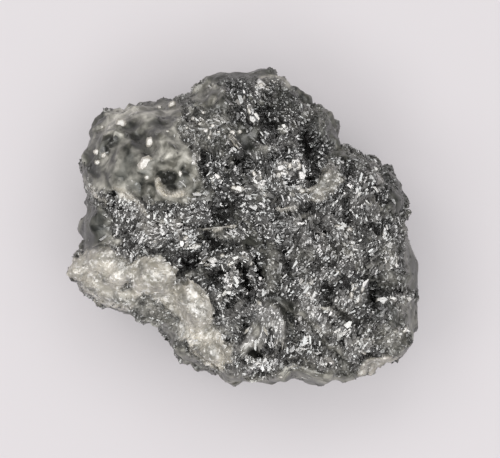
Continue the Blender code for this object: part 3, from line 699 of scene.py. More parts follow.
def remeshed(source):
    """The solid's form as an even, fine mesh in millimetres, and the same mesh smoothed to its ground."""
    mesh = source.data.copy()
    mesh.materials.clear()
    welded = bmesh.new()
    welded.from_mesh(mesh)
    bmesh.ops.remove_doubles(welded, verts=welded.verts, dist=WELD)
    bmesh.ops.scale(welded, vec=(1 / MM,) * 3, verts=welded.verts)
    welded.to_mesh(mesh)
    welded.free()
    made = put("remesh", mesh)
    remesh = made.modifiers.new("Even mesh", "REMESH")
    remesh.mode = "VOXEL"
    remesh.voxel_size = VOXEL
    even = evaluated(made)
    bpy.data.objects.remove(made)
    fine = bmesh.new()
    fine.from_mesh(even)
    upper = [face for face in fine.faces if face.normal.z > FINER_FACING]
    upper = [face for face in upper if face.calc_center_median().z > FINER_ABOVE]
    edges = list({edge for face in upper for edge in face.edges})
    bmesh.ops.subdivide_edges(fine, edges=edges, cuts=1, use_grid_fill=True)
    bmesh.ops.triangulate(fine, faces=fine.faces[:])
    fine.to_mesh(even)
    fine.free()
    made = put("remesh", even)
    settle = made.modifiers.new("Settle", "SMOOTH")
    settle.iterations = SETTLE_ROUNDS
    fine = evaluated(made)
    settle.iterations = LEVEL_ROUNDS
    ground = evaluated(made)
    bpy.data.objects.remove(made)
    return fine, mesh_points(ground), vertex_normals(ground)


def thinned(mesh, ratio):
    """The mesh with this share of its triangles, fewest where it is flat, and its sharp edges marked."""
    made = put("thinned", mesh)
    made.modifiers.new("Thin", "DECIMATE").ratio = min(1.0, ratio)
    thin = evaluated(made)
    bpy.data.objects.remove(made)
    thin.shade_smooth()
    thin.set_sharp_from_angle(angle=math.radians(SHARP_ANGLE))
    return thin


def mesh_of(name, points, corners):
    """A mesh made straight from arrays, in metres."""
    mesh = bpy.data.meshes.new(name)
    mesh.vertices.add(len(points))
    mesh.vertices.foreach_set("co", (points * MM).astype(np.float32).ravel())
    mesh.loops.add(corners.size)
    mesh.loops.foreach_set("vertex_index", corners.astype(np.int32).ravel())
    mesh.polygons.add(len(corners))
    mesh.polygons.foreach_set("loop_start", np.arange(0, corners.size, 3, dtype=np.int32))
    mesh.update(calc_edges=True)
    return mesh


def write_look(mesh, domain, name, values):
    """A look of each face or point of a mesh, which the material reads."""
    data = mesh.attributes.new(name, "FLOAT", domain).data
    data.foreach_set("value", values.astype(np.float32))


def normals_of(points, corners):
    """The way that each point of a mesh faces."""
    a, b, c = (points[corners[:, k]] for k in range(3))
    across = np.cross(b - a, c - a)
    total = [np.bincount(corners.ravel(), np.repeat(across[:, k], 3), len(points)) for k in range(3)]
    return normalised(np.stack(total, axis=1) + 1e-9)


def sculpted(points, normals):
    """The points after the lumps, hollows, ridges and clefts of the upper side."""
    rise = np.zeros(len(points))
    for lump in LUMPS:
        rise += lump[3] * ellipse_share(points, lump, 1.5)
    for path, half_width, height in PATHS:
        rise += height * path_share(points, path, half_width)
    rise *= np.clip(normals[:, 2] * 1.3, 0, 1) * upper_share(points, normals)
    return points + UP * rise[:, None]


def broken(points, normals, glass, pale):
    """The points after the facets of the broken ground, and the lumps of the glassy and the pale."""
    ways, grain = streak_ways(points, normals)
    facets = [
        facet_rise(points, ways, width, length, tilt, FACET_SEED + number)
        for number, (width, length, tilt) in enumerate(FACETS)
    ]
    smooth_lumps, pale_lumps = layered(points, GLASS_LUMPS), layered(points, PALE_LUMPS)
    moved = wobbled(points, 0.09)
    joints = sum(depth * crevices(moved, size, width, JOINT_SEED) for size, width, depth in JOINTS)
    rise = (sum(facets) - joints) * (1 - glass) * (1 - pale) + smooth_lumps * glass * (1 - pale)
    rise += (pale_lumps + 0.16 * facets[1] + 0.20 * facets[2]) * pale
    rise *= np.clip(0.45 + normals[:, 2], np.maximum(0.45, 0.9 * glass), 1)
    leaf, way, reach = leaf_share(points, normals)
    along = np.stack([way / RIB, reach / RIB_LENGTH, np.zeros(len(points))], axis=1)
    ribs = leaf * RIB_HEIGHT * noise_at(along, 1.0, RIB_SEED)
    rise = rise * (1 - LEAF_EVEN * leaf) * (1 - CALM_EVEN * calm_share(points)) + ribs
    rise = np.where(points[:, 2] < VOXEL, 0, rise)
    moved = points + normals * rise[:, None]
    moved[:, 2] = np.maximum(moved[:, 2], 0)
    return moved, smooth_lumps / GLASS_LUMPS[0][1], CELL_VALUES[grain]


def scattered(points, normals, corners, count, values):
    """Random places on a mesh, evenly by area, with the normals and the values there."""
    a, b, c = (points[corners[:, k]] for k in range(3))
    area = np.linalg.norm(np.cross(b - a, c - a), axis=1)
    chosen = rng.choice(len(corners), count, p=area / area.sum())
    u, v = rng.random((2, count, 1))
    fold = u + v > 1
    u, v = np.where(fold, 1 - u, u), np.where(fold, 1 - v, v)
    weights = (1 - u - v, u, v)
    places = sum(w * points[corners[chosen, k]] for k, w in enumerate(weights))
    facing = sum(w * normals[corners[chosen, k]] for k, w in enumerate(weights))
    value = sum(w[:, 0] * values[corners[chosen, k]] for k, w in enumerate(weights))
    return places, normalised(facing), value


def light_way(azimuth, off):
    """The way from the stone to a light."""
    a, o = math.radians(azimuth), math.radians(off)
    return np.array((math.sin(o) * math.cos(a), math.sin(o) * math.sin(a), math.cos(o)))


def glints():
    """Ways that a face turns to mirror each light up to the camera."""
    return normalised(np.array([light_way(azimuth, off) + UP for azimuth, off, *_ in LIGHTS]))


def frames(first, second):
    """Square frames: along the first ways, with the second ways as near as they come to the next axis."""
    first, second = np.broadcast_arrays(normalised(np.asarray(first, float)), np.asarray(second, float))
    across = normalised(second - first * (first * second).sum(axis=-1, keepdims=True))
    return np.stack([first, across, np.cross(first, across)], axis=-1)


OCTAHEDRON = np.vstack([np.eye(3), -np.eye(3)])
OCTAHEDRON_FACES = np.array(
    [(0, 1, 2), (1, 3, 2), (3, 4, 2), (4, 0, 2), (1, 0, 5), (3, 1, 5), (4, 3, 5), (0, 4, 5)]
)
# A blade: a ridge between two long faces, on a wider base
BLADE = np.array(
    [(-0.7, 0, 1), (0.7, 0, 1), (1, 1, -1), (1, -1, -1), (-1, -1, -1), (-1, 1, -1)], float
)
BLADE_FACES = np.array(
    [(0, 1, 2), (0, 2, 5), (1, 0, 4), (1, 4, 3), (1, 3, 2), (0, 5, 4), (5, 2, 3), (5, 3, 4)]
)


def blade_face(stretch):
    """The way that a stretched blade's one long face faces."""
    return normalised(np.stack([0 * stretch[:, 0], 2 / stretch[:, 1], 1 / stretch[:, 2]], axis=1))


def shard_kind():
    """Corners and triangles of one uneven octahedral crystal, its faces at unlike distances."""
    ways = np.array([(x, y, z) for x in (-1, 1) for y in (-1, 1) for z in (-1, 1)]) / math.sqrt(3)
    ways = np.vstack([ways, OCTAHEDRON])
    reach = np.concatenate([rng.uniform(0.42, 0.85, 8), rng.uniform(0.72, 1.1, 6)])
    corners = []
    for a, b, c in itertools.combinations(range(len(ways)), 3):
        planes = ways[[a, b, c]]
        if abs(np.linalg.det(planes)) > 0.01:
            corner = np.linalg.solve(planes, reach[[a, b, c]])
            if (ways @ corner <= reach + 1e-9).all():
                corners.append(corner)
    block = bmesh.new()
    for corner in corners:
        block.verts.new(corner)
    bmesh.ops.remove_doubles(block, verts=block.verts, dist=1e-6)
    bmesh.ops.convex_hull(block, input=block.verts)
    bmesh.ops.triangulate(block, faces=block.faces)
    points = np.array([vertex.co for vertex in block.verts])
    block.verts.index_update()
    faces = np.array([[vertex.index for vertex in face.verts] for face in block.faces])
    block.free()
    return points, faces


def flake_kind():
    """Corners and triangles of one flat crystal: an uneven face of few sides above a wider base."""
    sides = int(rng.integers(3, 6))
    angles = (np.arange(sides) + rng.uniform(-0.3, 0.3, sides)) * 2 * math.pi / sides
    reach = rng.uniform(0.45, 1.1, sides)
    top = np.stack([reach * np.cos(angles), reach * np.sin(angles), np.ones(sides)], axis=1)
    points = np.vstack([top, top * (1.3, 1.3, -1), [(0, 0, 1), (0, 0, -1)]])
    faces = []
    for k in range(sides):
        after = (k + 1) % sides
        faces += [(2 * sides, k, after), (2 * sides + 1, sides + after, sides + k)]
        faces += [(k, sides + k, sides + after), (k, sides + after, after)]
    return points, np.array(faces)


def set_in(corners, places, normals, sunk_share):
    """Corners of crystals moved so that each stands out of the surface by its share of its size."""
    height = (corners @ normals[:, :, None])[..., 0]
    size = (height.max(axis=1) - height.min(axis=1)) / 2
    centres = places + normals * (size * sunk_share - height.max(axis=1))[:, None]
    return corners + centres[:, None]


def crystals(name, kinds, crust, stretch):
    """Copies of one shape, or of several in turn, set into the surface as one mesh."""
    points, faces, share, start = [], [], [], 0
    for number, (corners, triangles_of_kind) in enumerate(kinds):
        chosen = slice(number, None, len(kinds))
        turn, places, normals = crust["turn"][chosen], crust["places"][chosen], crust["normals"][chosen]
        count = len(places)
        placed = (corners[None] * stretch[chosen][:, None]) @ turn.transpose(0, 2, 1)
        placed = set_in(placed, places, normals, crust["out"][chosen])
        points.append(placed.reshape(-1, 3))
        numbers = np.arange(count)[:, None, None] * len(corners)
        faces.append((triangles_of_kind[None] + numbers).reshape(-1, 3) + start)
        share.append(np.repeat(np.arange(len(crust["places"]))[chosen], len(triangles_of_kind)))
        start += count * len(corners)
    points, faces, share = np.concatenate(points), np.concatenate(faces), np.concatenate(share)
    points[:, 2] = np.maximum(points[:, 2], 0)
    mesh = mesh_of(name, points, faces)
    mesh.shade_flat()
    for look in ("tone", "pale", "hollow", "glass"):
        write_look(mesh, "FACE", look, crust[look][share])
    return mesh


def link(name, mesh, material):
    """A piece of the stone: this mesh with the material, on the stone's body."""
    made = put(name, mesh)
    mesh.materials.append(material)
    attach(made, BODY)
    return made


class Nodes:
    """A material's node tree, written as one call a node."""

    def __init__(self, name):
        self.material = bpy.data.materials.new(name)
        self.material.use_nodes = True
        self.tree = self.material.node_tree
        self.shader = self.tree.nodes["Principled BSDF"]

    def add(self, kind, **inputs):
        """A node with these inputs set or linked."""
        node = self.tree.nodes.new("ShaderNode" + kind)
        for key, value in inputs.items():
            self.set(node.inputs[key.replace("_", " ")], value)
        return node

    def set(self, socket, value):
        """Links a socket into this one, or sets a value on it."""
        if isinstance(value, bpy.types.NodeSocket):
            self.tree.links.new(value, socket)
        else:
            socket.default_value = value

    def attribute(self, name):
        """A look that the mesh holds."""
        node = self.add("Attribute")
        node.attribute_name = name
        return node.outputs["Fac"]

    def mix(self, share, first, second):
        """A colour between two."""
        node = self.add("Mix")
        node.data_type = "RGBA"
        self.set(node.inputs["Factor"], share)
        self.set(node.inputs[6], first)
        self.set(node.inputs[7], second)
        return node.outputs[2]

    def ramp(self, value, *stops):
        """A colour by a value, between stops of place and colour."""
        node = self.add("ValToRGB", Fac=value)
        elements = node.color_ramp.elements
        elements[0].position, elements[0].color = stops[0]
        elements[1].position, elements[1].color = stops[-1]
        for position, colour in stops[1:-1]:
            elements.new(position).color = colour
        return node.outputs["Color"]

    def noise(self, scale, detail=3.0, distortion=0.0):
        """Noise through the stone, its scale a metre."""
        place = self.add("TexCoord").outputs["Object"]
        made = self.add("TexNoise", Vector=place, Scale=scale, Detail=detail, Distortion=distortion)
        return made.outputs["Fac"]


def grey(level, warmth=0.0):
    """A grey, or a little warmer one."""
    return (level * (1 + warmth), level, level * (1 - warmth), 1)


def diamond_material():
    """Dark broken diamond, glassy grey ground and pale crust, by the looks that each piece's mesh holds."""
    nodes = Nodes("grey_diamond")
    shader = nodes.shader
    shader.inputs["IOR"].default_value = DIAMOND_IOR
    tone, glassy, pale_share = (nodes.attribute(look) for look in ("tone", "glass", "pale"))
    # Colour: each ground between its dark and its light, by the tone
    mottled = nodes.noise(1500.0)
    broad = nodes.noise(3200.0, 4.0)
    wisps = nodes.noise(2600.0, 6.0, 0.5)
    fleck = nodes.noise(7000.0, 3.0)
    dark = nodes.ramp(mottled, (0.35, grey(0.012)), (0.55, grey(0.036, 0.02)), (0.72, grey(0.10, 0.03)))
    light = nodes.ramp(mottled, (0.30, grey(0.08, 0.02)), (0.7, grey(0.34, 0.04)))
    broken_ground = nodes.mix(tone, dark, light)
    glass_dark = nodes.ramp(wisps, (0.38, (0.008, 0.009, 0.007, 1)), (0.62, (0.080, 0.080, 0.067, 1)))
    glass_light = nodes.ramp(wisps, (0.38, (0.17, 0.162, 0.136, 1)), (0.62, (0.64, 0.615, 0.55, 1)))
    ground = nodes.mix(glassy, broken_ground, nodes.mix(tone, glass_dark, glass_light))
    # Painted shade: near-black in the hollows and on the dark places, by how much each point holds
    ground = nodes.mix(nodes.attribute("hollow"), ground, grey(0.028, 0.03))
    pale_grey = nodes.ramp(broad, (0.3, (0.07, 0.067, 0.056, 1)), (0.7, (0.22, 0.208, 0.18, 1)))
    pale_light = nodes.ramp(broad, (0.3, (0.40, 0.365, 0.290, 1)), (0.7, (0.66, 0.62, 0.565, 1)))
    pale = nodes.mix(tone, pale_grey, pale_light)
    pale = nodes.mix(nodes.ramp(fleck, (0.55, grey(0.0)), (0.66, grey(0.55))), pale, grey(0.80, 0.02))
    pale = nodes.mix(nodes.ramp(fleck, (0.34, grey(0.40)), (0.42, grey(0.0))), pale, grey(0.16, 0.06))
    nodes.set(shader.inputs["Base Color"], nodes.mix(pale_share, ground, pale))
    # Gloss
    rough = nodes.ramp(nodes.noise(2400.0), (0.3, grey(0.08)), (0.7, grey(0.23)))
    glass_rough = nodes.ramp(wisps, (0.35, grey(0.30)), (0.65, grey(0.55)))
    rough = nodes.mix(pale_share, nodes.mix(glassy, rough, glass_rough), grey(0.42))
    nodes.set(shader.inputs["Roughness"], rough)
    nodes.set(shader.inputs["Specular IOR Level"], nodes.mix(glassy, grey(0.5), grey(0.20)))
    # Grit over everything, and wisps on the glassy ground
    bump = nodes.add("Bump", Height=nodes.noise(14000.0, 2.0), Distance=0.00002, Strength=0.35)
    skin = nodes.add("Bump", Height=wisps, Distance=0.00003, Normal=bump.outputs["Normal"])
    nodes.set(skin.inputs["Strength"], nodes.mix(glassy, grey(0.1), grey(0.6)))
    nodes.set(shader.inputs["Normal"], skin.outputs["Normal"])
    # Light goes some way into the pale crust
    nodes.set(shader.inputs["Subsurface Weight"], nodes.mix(pale_share, grey(0.0), grey(0.6)))
    shader.inputs["Subsurface Radius"].default_value = (1.0, 0.97, 0.92)
    shader.inputs["Subsurface Scale"].default_value = 0.00022
    return nodes.material


def stage():
    """The pale floor."""
    mesh = bpy.data.meshes.new("floor")
    plane = bmesh.new()
    bmesh.ops.create_grid(plane, x_segments=1, y_segments=1, size=FLOOR_HALF_SIDE)
    plane.to_mesh(mesh)
    plane.free()
    floor = put("floor", mesh)
    nodes = Nodes("floor")
    for socket, value in FLOOR_LOOK.items():
        nodes.shader.inputs[socket].default_value = value
    mesh.materials.append(nodes.material)


def lights():
    """The softboxes, and the tent round them."""
    for number, (azimuth, off, half_angle, radiance, colour) in enumerate(LIGHTS, 1):
        way = Vector(light_way(azimuth, off))
        radius = LIGHT_DISTANCE * math.tan(math.radians(half_angle)) * MM
        data = bpy.data.lights.new(f"softbox_{number}", "AREA")
        data.shape = "DISK"
        data.size = 2 * radius
        data.color = colour
        data.energy = radiance * math.pi * math.pi * radius**2
        made = put(data.name, data)
        made.location = way * LIGHT_DISTANCE * MM
        made.rotation_euler = way.to_track_quat("Z", "Y").to_euler()
    world = bpy.data.worlds.new("studio")
    world.use_nodes = True
    tree = world.node_tree
    height = tree.nodes.new("ShaderNodeSeparateXYZ")
    tree.links.new(tree.nodes.new("ShaderNodeTexCoord").outputs["Generated"], height.inputs["Vector"])
    fade = tree.nodes.new("ShaderNodeValToRGB")
    elements = fade.color_ramp.elements
    for index, (position, radiance) in enumerate(TENT):
        element = elements[index] if index < 2 else elements.new(position)
        element.position = position
        element.color = grey(radiance / TENT_BRIGHTEST)
    tree.links.new(height.outputs["Z"], fade.inputs["Fac"])
    tree.links.new(fade.outputs["Color"], tree.nodes["Background"].inputs["Color"])
    tree.nodes["Background"].inputs["Strength"].default_value = TENT_BRIGHTEST
    bpy.context.scene.world = world


def camera():
    """The photograph's camera, straight above the middle of the picture."""
    data = bpy.data.cameras.new("camera")
    data.sensor_width = SENSOR_WIDTH
    data.lens = data.sensor_width * (CAMERA_HEIGHT - FOCUS_LEVEL) / (PICTURE[0] * PIXEL)
    data.clip_start = 0.01
    made = put("camera", data)
    x, y = at_pixel((PICTURE[0] / 2, PICTURE[1] / 2))
    made.location = Vector((x, y, CAMERA_HEIGHT)) * MM
    bpy.context.scene.camera = made
    bpy.context.scene.view_settings.view_transform = "Standard"


def tone_and_painted_light(points, normals):
    """How much lighter or darker the ground is than elsewhere, partly its own tone and partly painted light
    and shade.
    """
    tone = sum(spot[3] * ellipse_share(points, spot, 1.3) for spot in TONES_AND_PAINTED_LIGHT)
    return tone * upper_share(points, normals)


def looks_at(points, normals, lump, grain_value, glass, pale):
    """Each point's tone, between dark and light, for the ground that it is on."""
    moved = wobbled(points)
    upper = upper_share(points, normals)
    speckle = layered(points, SPECKLE_LAYERS)
    white, greyer = strongest(moved, WHITER, 1.3), strongest(moved, GREYER, 1.3)
    pale_tone = np.clip(PALE_TONE + WHITER_TONE * white - GREYER_TONE * greyer + speckle, 0, 1)
    leaf, _, _ = leaf_share(points, normals)
    # Painted light and shade: the glassy ground lighter on its lumps and darker in the dips between them
    mottle = layered(points, MOTTLE_LAYERS, LUMP_LIGHT_AND_SHADE_TONE * lump) * (1 - 0.6 * calm_share(points))
    # Painted shade: the glassy ground darker where it faces sideways and down
    side = ramped(-normals[:, 2], -0.55, 0.3)
    tone = glass * (GLASS_TONE - SIDE_SHADE_TONE * side + mottle)
    tone += (BROKEN_TONE + GRAIN_TONE * grain_value) * (1 - glass)
    # The bright patches lighter: a painted highlight
    bright, dark = strongest(moved, BRIGHT) * upper, strongest(moved, DARK) * upper
    # The dark places darker, partly painted shade
    marked = LEAF_TONE * leaf + PAINTED_GLINT_TONE * bright - DARK_COLOUR_AND_SHADE_TONE * dark
    # The ground's tones, partly painted light and shade
    tone += marked + TONE_AND_PAINTED_LIGHT_WEIGHT * tone_and_painted_light(moved, normals)
    return np.clip(np.where(pale > 0.5, pale_tone, tone), 0, 1)


def add_body(material):
    """The fine body. Gives what the crust needs to know of it."""
    fine, level, level_normals = remeshed(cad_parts[NODE])
    points, corners = mesh_points(fine), triangles(fine)
    height = ((points - level) * level_normals).sum(axis=1)
    glass, pale = grounds(points, level_normals)
    above = points[:, 2] > VOXEL
    calm = calm_share(points)
    more = SHARPEN * above * (1 - np.maximum(glass, pale)) * (1 - calm) - calm
    points = points + level_normals * (more * height)[:, None]
    points = pushed_out(sculpted(points, level_normals))
    form_normals = normals_of(points, corners)
    points, lump, grain_value = broken(points, form_normals, glass, pale)
    height = ((points - level) * level_normals).sum(axis=1)
    # Painted shade, the darker the deeper a point lies under the smoothed ground; on the dark places also the
    # stone's dark colour
    hollow = np.clip(-height / PAINTED_SHADE_DEPTH, 0, 1) * above
    hollow *= 1 - 0.6 * np.maximum(glass, pale)
    dark = strongest(wobbled(points), DARK) * upper_share(points, form_normals)
    hollow = np.maximum(hollow, DARK_COLOUR_AND_SHADE * dark * (1 - pale))
    mesh = mesh_of("stone_body", points, corners)
    tone = looks_at(points, form_normals, lump, grain_value, glass, pale)
    for look, values in (("tone", tone), ("pale", pale), ("hollow", hollow), ("glass", glass)):
        write_look(mesh, "POINT", look, values)
    body = link("stone_body", thinned(mesh, MOST_TRIANGLES / len(corners)), material)
    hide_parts(NODE)
    return {"points": points, "normals": form_normals, "corners": corners, "hollow": hollow}


def spread_out(body, tries, count, least_sides):
    """Places for crystals over the broken ground, with the ways that they run and face, and their looks."""
    surface = (body[key] for key in ("points", "normals", "corners"))
    places, facing, hollow = scattered(*surface, tries, body["hollow"])
    glass, pale = grounds(places, facing)
    smooth = np.maximum(glass, pale)
    upper = upper_share(places, facing)
    leaf, _, _ = leaf_share(places, facing)
    dark, bright = strongest(places, DARK) * upper, strongest(places, BRIGHT) * upper
    patchy = smooth + 0.5 * noise_at(places, 0.30, 90) * (smooth > 0.02) * (smooth < 0.98)
    shares = LEAF_BARE * leaf, DARK_BARE * dark, BRIGHT_BARE * bright
    bare = most_of((patchy - PALE_CRUSTED * pale, bare_share(places), *shares))
    clear = places[:, 2] > CLEAR_OF_FLOOR
    keep = clear & (rng.random(len(places)) > np.minimum(bare, MOST_BARE))
    keep |= clear & (facing[:, 2] < STEEP) & (rng.random(len(places)) < least_sides)
    keep = np.flatnonzero(keep)[:count]
    kept = (places, facing, hollow, glass, pale, leaf, dark, bright)
    places, facing, hollow, glass, pale, leaf, dark, bright = (values[keep] for values in kept)
    ways, grain = streak_ways(places, facing)
    count = len(places)
    lean = GRAIN_LEAN * WAYS[grain] + CRYSTAL_LEAN * rng.normal(size=(count, 3))
    lean *= (1 - 0.4 * leaf)[:, None]
    ground = tone_and_painted_light(places, facing)
    # Darker on the dark places, partly painted shade, and lighter or darker by the ground's tones, partly
    # painted light and shade
    tone = 0.4 * rng.random(count) + 0.3 * CELL_VALUES[grain] - 0.8 * dark + 0.30 * leaf + 0.6 * ground
    glitter = glitter_share(places, grain, bright, dark, leaf, ground)
    size = 1 + 0.45 * noise_at(places, 0.7, 96) + 0.35 * bright - 0.3 * pale
    return {
        "places": places,
        "normals": facing,
        "ways": normalised(ways + (0.20 - 0.16 * leaf)[:, None] * rng.normal(size=(count, 3))),
        "facing": normalised(facing + lean),
        "grain": grain,
        "bright": glitter * (hollow < 0.5) * np.clip(facing[:, 2] * 2.2 - 0.1, 0, 1) > rng.random(count),
        "tone": np.clip(tone + 0.3 * pale, 0, 1),
        "leaf": leaf,
        "pale": pale,
        # The body's painted shade under each crystal, with the dark places darker still
        "hollow": np.clip(hollow + 0.9 * dark, 0, 1),
        "glass": 0.5 * glass,
        "size": np.clip(0.38 + 0.9 * facing[:, 2], 0.48, 1) * np.clip(size, 0.55, 1.6),
    }


def glitter_share(places, grain, bright, dark, leaf, ground):
    """How often a crystal turns a face to a light: by grain, over lumps of two sizes and by the patches."""
    share = GLITTER * (0.35 + 1.3 * CELL_VALUES[(grain * 5 + 3) % 256])
    share += layered(places, GLITTER_LAYERS)
    share += 0.36 * ground
    share = np.clip(share, 0.03, 0.8) * (1 - 0.45 * leaf)
    return np.maximum(share, PATCH_GLITTER * bright) * (1 - dark)


def turned_away(facing):
    """The ways, with those that would mirror a light up to the camera tilted on past it."""
    mirrored = 2 * facing * facing[:, 2:] - UP
    lit = np.zeros(len(facing), bool)
    for azimuth, off, half_angle, *_ in LIGHTS:
        edge = math.cos(math.radians(half_angle + CLEAR_OF_LIGHT))
        lit |= mirrored @ light_way(azimuth, off) > edge
    away = facing.copy()
    away[lit, :2] *= np.where(rng.random(lit.sum()) < 0.5, 0.25, 2.3)[:, None]
    return normalised(away)


def turned(crust, face_way):
    """Turns that lay each crystal along its grain with the given face facing as it should."""
    aim = turned_away(crust["facing"])
    lit = np.flatnonzero(crust["bright"])
    options = glints()
    # The light whose mirror way is nearest to the ground's, by and large, and alike within a grain
    liking = CELL_VALUES[(crust["grain"][lit][:, None] * 7 + 31 * np.arange(len(options))) % 256]
    fit = crust["normals"][lit] @ options.T + 0.10 * liking + 0.04 * rng.random(liking.shape)
    aim[lit] = normalised(options[fit.argmax(axis=1)] + 0.07 * rng.normal(size=(len(lit), 3)))
    start = frames(face_way, np.array((1.0, 0, 0)))
    return frames(aim, crust["ways"]) @ start.transpose(0, 2, 1)


def drawn(count, power, ends):
    """Random numbers between two ends, the more of them near the first the higher the power."""
    return np.interp(rng.random(count) ** power, (0, 1), ends)


def sunk(crust, least=0.3):
    """How far crystals stand out on each place's slope: less on the steep sides."""
    return np.clip(least + 2 * crust["normals"][:, 2], least, 1)


def add_crust(body, material):
    """The slivers, a piece for each of their sizes, and the shards."""
    for piece, scale in enumerate(SLIVER_SCALES, 1):
        crust = spread_out(body, SLIVER_TRIES, SLIVERS, SIDE_SLIVERS)
        count = len(crust["places"])
        length, width = drawn(count, 1.8, SLIVER_LENGTH), drawn(count, 1.3, SLIVER_WIDTH)
        stretch = np.stack([length, width, width * rng.uniform(*SLIVER_THICKNESS, count)], axis=1) / 2
        stretch *= scale * crust["size"][:, None]
        stretch[:, 0] = np.minimum(stretch[:, 0], LONGEST_SLIVER / 2) * (1 + 0.8 * crust["leaf"])
        stretch[:, 1] *= 1 - 0.45 * crust["leaf"]
        crust["turn"] = turned(crust, blade_face(stretch))
        crust["out"] = rng.uniform(0.3, 1.1, count) * crust["size"] * sunk(crust)
        name = f"crust_slivers_{piece}"
        link(name, crystals(name, [(BLADE, BLADE_FACES)], crust, stretch), material)
    crust = spread_out(body, 3 * SHARDS, SHARDS, SIDE_SHARDS)
    count = len(crust["places"])
    sizes = drawn(count, 2.0, SHARD_SIZE) * crust["size"]
    stretch = sizes[:, None] * rng.uniform((1.1, 0.7, 0.5), (2.0, 1.0, 0.8), (count, 3))
    crust["turn"] = turned(crust, normalised(1 / stretch))
    crust["out"] = rng.uniform(0.1, 0.6, count) * sunk(crust)
    kinds = [shard_kind() for _ in range(SHARD_KINDS)]
    link("crust_shards", crystals("crust_shards", kinds, crust, stretch), material)


def patch_places(body, density):
    """Places on the bright patches, and the way that each patch runs."""
    seen = np.flatnonzero((body["normals"][:, 2] > SEEN_FACING) & (body["points"][:, 2] > UPPER_FROM))
    chosen, ways = [], []
    for patch in BRIGHT:
        _, (half_length, half_width), turn, _ = patch
        inside = seen[ellipse_share(body["points"][seen], patch) > 0.4]
        count = int(density * half_length * half_width * math.pi)
        if len(inside):
            chosen.append(rng.choice(inside, count))
            angle = math.radians(turn if half_length > half_width else turn + 90)
            ways.append(np.tile((math.cos(angle), math.sin(angle), 0.0), (count, 1)))
    return np.concatenate(chosen), np.concatenate(ways)


def patch_crust(body, density):
    """Crystals of the bright patches, most of them with a face to a light."""
    chosen, ways = patch_places(body, density)
    count = len(chosen)
    return {
        "places": body["points"][chosen],
        "normals": body["normals"][chosen],
        "ways": normalised(ways + 0.22 * rng.normal(size=(count, 3))),
        "facing": body["normals"][chosen],
        "grain": np.zeros(count, int),
        "bright": rng.random(count) < PATCH_GLITTER,
        "out": rng.uniform(0.3, 0.8, count),
        # The patches' crystals lighter and paler: partly painted highlight
        "tone": rng.uniform(0.5, 1.0, count),
        "pale": rng.uniform(0.1, 0.7, count),
        "hollow": np.zeros(count),
        "glass": np.zeros(count),
    }


def add_sheaves(body, material):
    """Bundles of long slivers lying side by side, with their faces to a light."""
    crust = patch_crust(body, SHEAF_DENSITY)
    count = len(crust["places"])
    length, width = rng.uniform(*SHEAF_LENGTH, count), rng.uniform(*SHEAF_WIDTH, count)
    stretch = np.stack([length, width, 0.6 * width], axis=1) / 2
    crust["turn"] = turned(crust, blade_face(stretch))
    mesh = crystals("bright_sheaves", [(BLADE, BLADE_FACES)], crust, stretch)
    link("bright_sheaves", mesh, material)


def add_flakes(body, material):
    """Flat crystals on the bright patches, and smaller ones here and there over the crust."""
    patches, spread = patch_crust(body, FLAKE_DENSITY), spread_out(body, 3 * FLAKES, FLAKES, SIDE_FLAKES)
    spread["out"] = np.ones(len(spread["places"]))
    crust = {look: np.concatenate([patches[look], spread[look]]) for look in patches}
    count = len(crust["places"])
    crust["out"] = rng.uniform(0.6, 1.8, count) * sunk(crust, 0.1)
    length = drawn(count, 1.5, FLAKE_LENGTH)
    length[len(patches["places"]) :] *= 0.62
    crust["pale"] *= 0.5
    width, thickness = length * rng.uniform(0.4, 0.9, count), length * rng.uniform(0.25, 0.45, count)
    stretch = np.stack([length, width, thickness], axis=1) / 2
    crust["turn"] = turned(crust, np.tile(UP, (count, 1)))
    kinds = [flake_kind() for _ in range(FLAKE_KINDS)]
    link("crust_flakes", crystals("crust_flakes", kinds, crust, stretch), material)


def near_points(body, at, reach):
    """The body's upward points within reach of a place, seen from above."""
    seen = np.flatnonzero(body["normals"][:, 2] > SEEN_FACING)
    return seen[np.linalg.norm(body["points"][seen, :2] - at, axis=1) < reach]


def pale_and_glint_looks(mesh, pale):
    """The same light looks all over a mesh: the needles' own pale colour, and on the glint facets a painted
    highlight.
    """
    for look, value in (("tone", 0.9), ("pale", pale), ("hollow", 0.0), ("glass", 0.0)):
        write_look(mesh, "FACE", look, np.full(len(mesh.polygons), value))


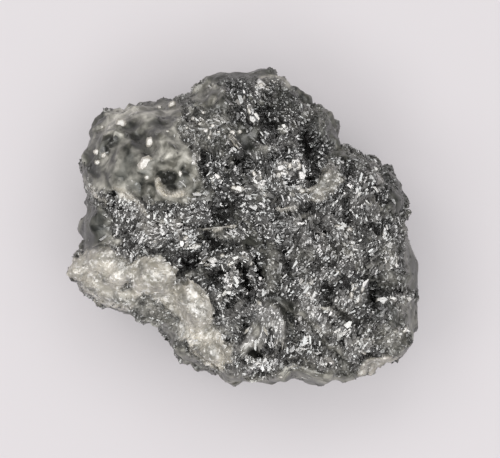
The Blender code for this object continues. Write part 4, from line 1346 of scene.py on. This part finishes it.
def add_plates(body, material):
    """Single rounded facets, each turned to mirror the light that its ground nearly faces."""
    options = glints()
    points, faces = [], []
    angles = np.arange(PLATE_RIM) * 2 * math.pi / PLATE_RIM
    for place, (half_length, half_width), turn, _ in PLATES:
        at = np.array(at_pixel(place))
        near = near_points(body, at, max(half_length, half_width))
        if not len(near):
            continue
        top = np.percentile(body["points"][near, 2], 80)
        facing = normalised(body["normals"][near].mean(axis=0))
        way = options[(options @ facing).argmax()]
        a = math.radians(turn)
        base = frames(way[None], np.array([(math.cos(a), math.sin(a), 0.0)]))[0]
        wave = rng.uniform(0.8, 1.1, PLATE_RIM)
        start = PLATE_RIM * len(points)
        for share, rise in PLATE_RINGS:
            long_way = half_length * share * wave * np.cos(angles)
            wide_way = half_width * share * wave * np.sin(angles)
            ring = np.stack([np.full(PLATE_RIM, rise), long_way, wide_way], axis=1)
            points.append(ring @ base.T + (*at, top))
        for first in range(start, start + PLATE_RIM * (len(PLATE_RINGS) - 1), PLATE_RIM):
            for k in range(PLATE_RIM):
                a0, a1 = first + k, first + (k + 1) % PLATE_RIM
                faces += [(a0, a1, a1 + PLATE_RIM), (a0, a1 + PLATE_RIM, a0 + PLATE_RIM)]
    mesh = mesh_of("glint_facets", np.concatenate(points), np.array(faces))
    mesh.shade_smooth()
    # Painted highlight: a light, pale colour on facets that also mirror a light
    pale_and_glint_looks(mesh, 0.6)
    link("glint_facets", mesh, material)


def add_needles(body, material):
    """Long pale crystals, each lying along the ground between its ends."""
    points, faces = [], []
    for first, last, half_width in NEEDLES:
        ends = []
        for place in (first, last):
            at = np.array(at_pixel(place))
            near = near_points(body, at, NEEDLE_REACH)
            ends.append((*at, np.percentile(body["points"][near, 2], 90) + 0.5 * half_width))
        start, end = np.array(ends)
        base = frames(end - start, np.array((0.1, -0.2, 1.0)))
        stretch = np.array((np.linalg.norm(end - start) / 2, half_width, half_width))
        faces.append(OCTAHEDRON_FACES + len(OCTAHEDRON) * len(points))
        points.append((OCTAHEDRON * stretch) @ base.T + (start + end) / 2)
    mesh = mesh_of("pale_needles", np.concatenate(points), np.concatenate(faces))
    mesh.shade_flat()
    pale_and_glint_looks(mesh, 1.0)
    link("pale_needles", mesh, material)


def main():
    """The stone, its floor, the lights and the camera."""
    material = diamond_material()
    body = add_body(material)
    for add in (add_crust, add_sheaves, add_flakes, add_plates, add_needles):
        add(body, material)
    stage()
    lights()
    camera()


main()
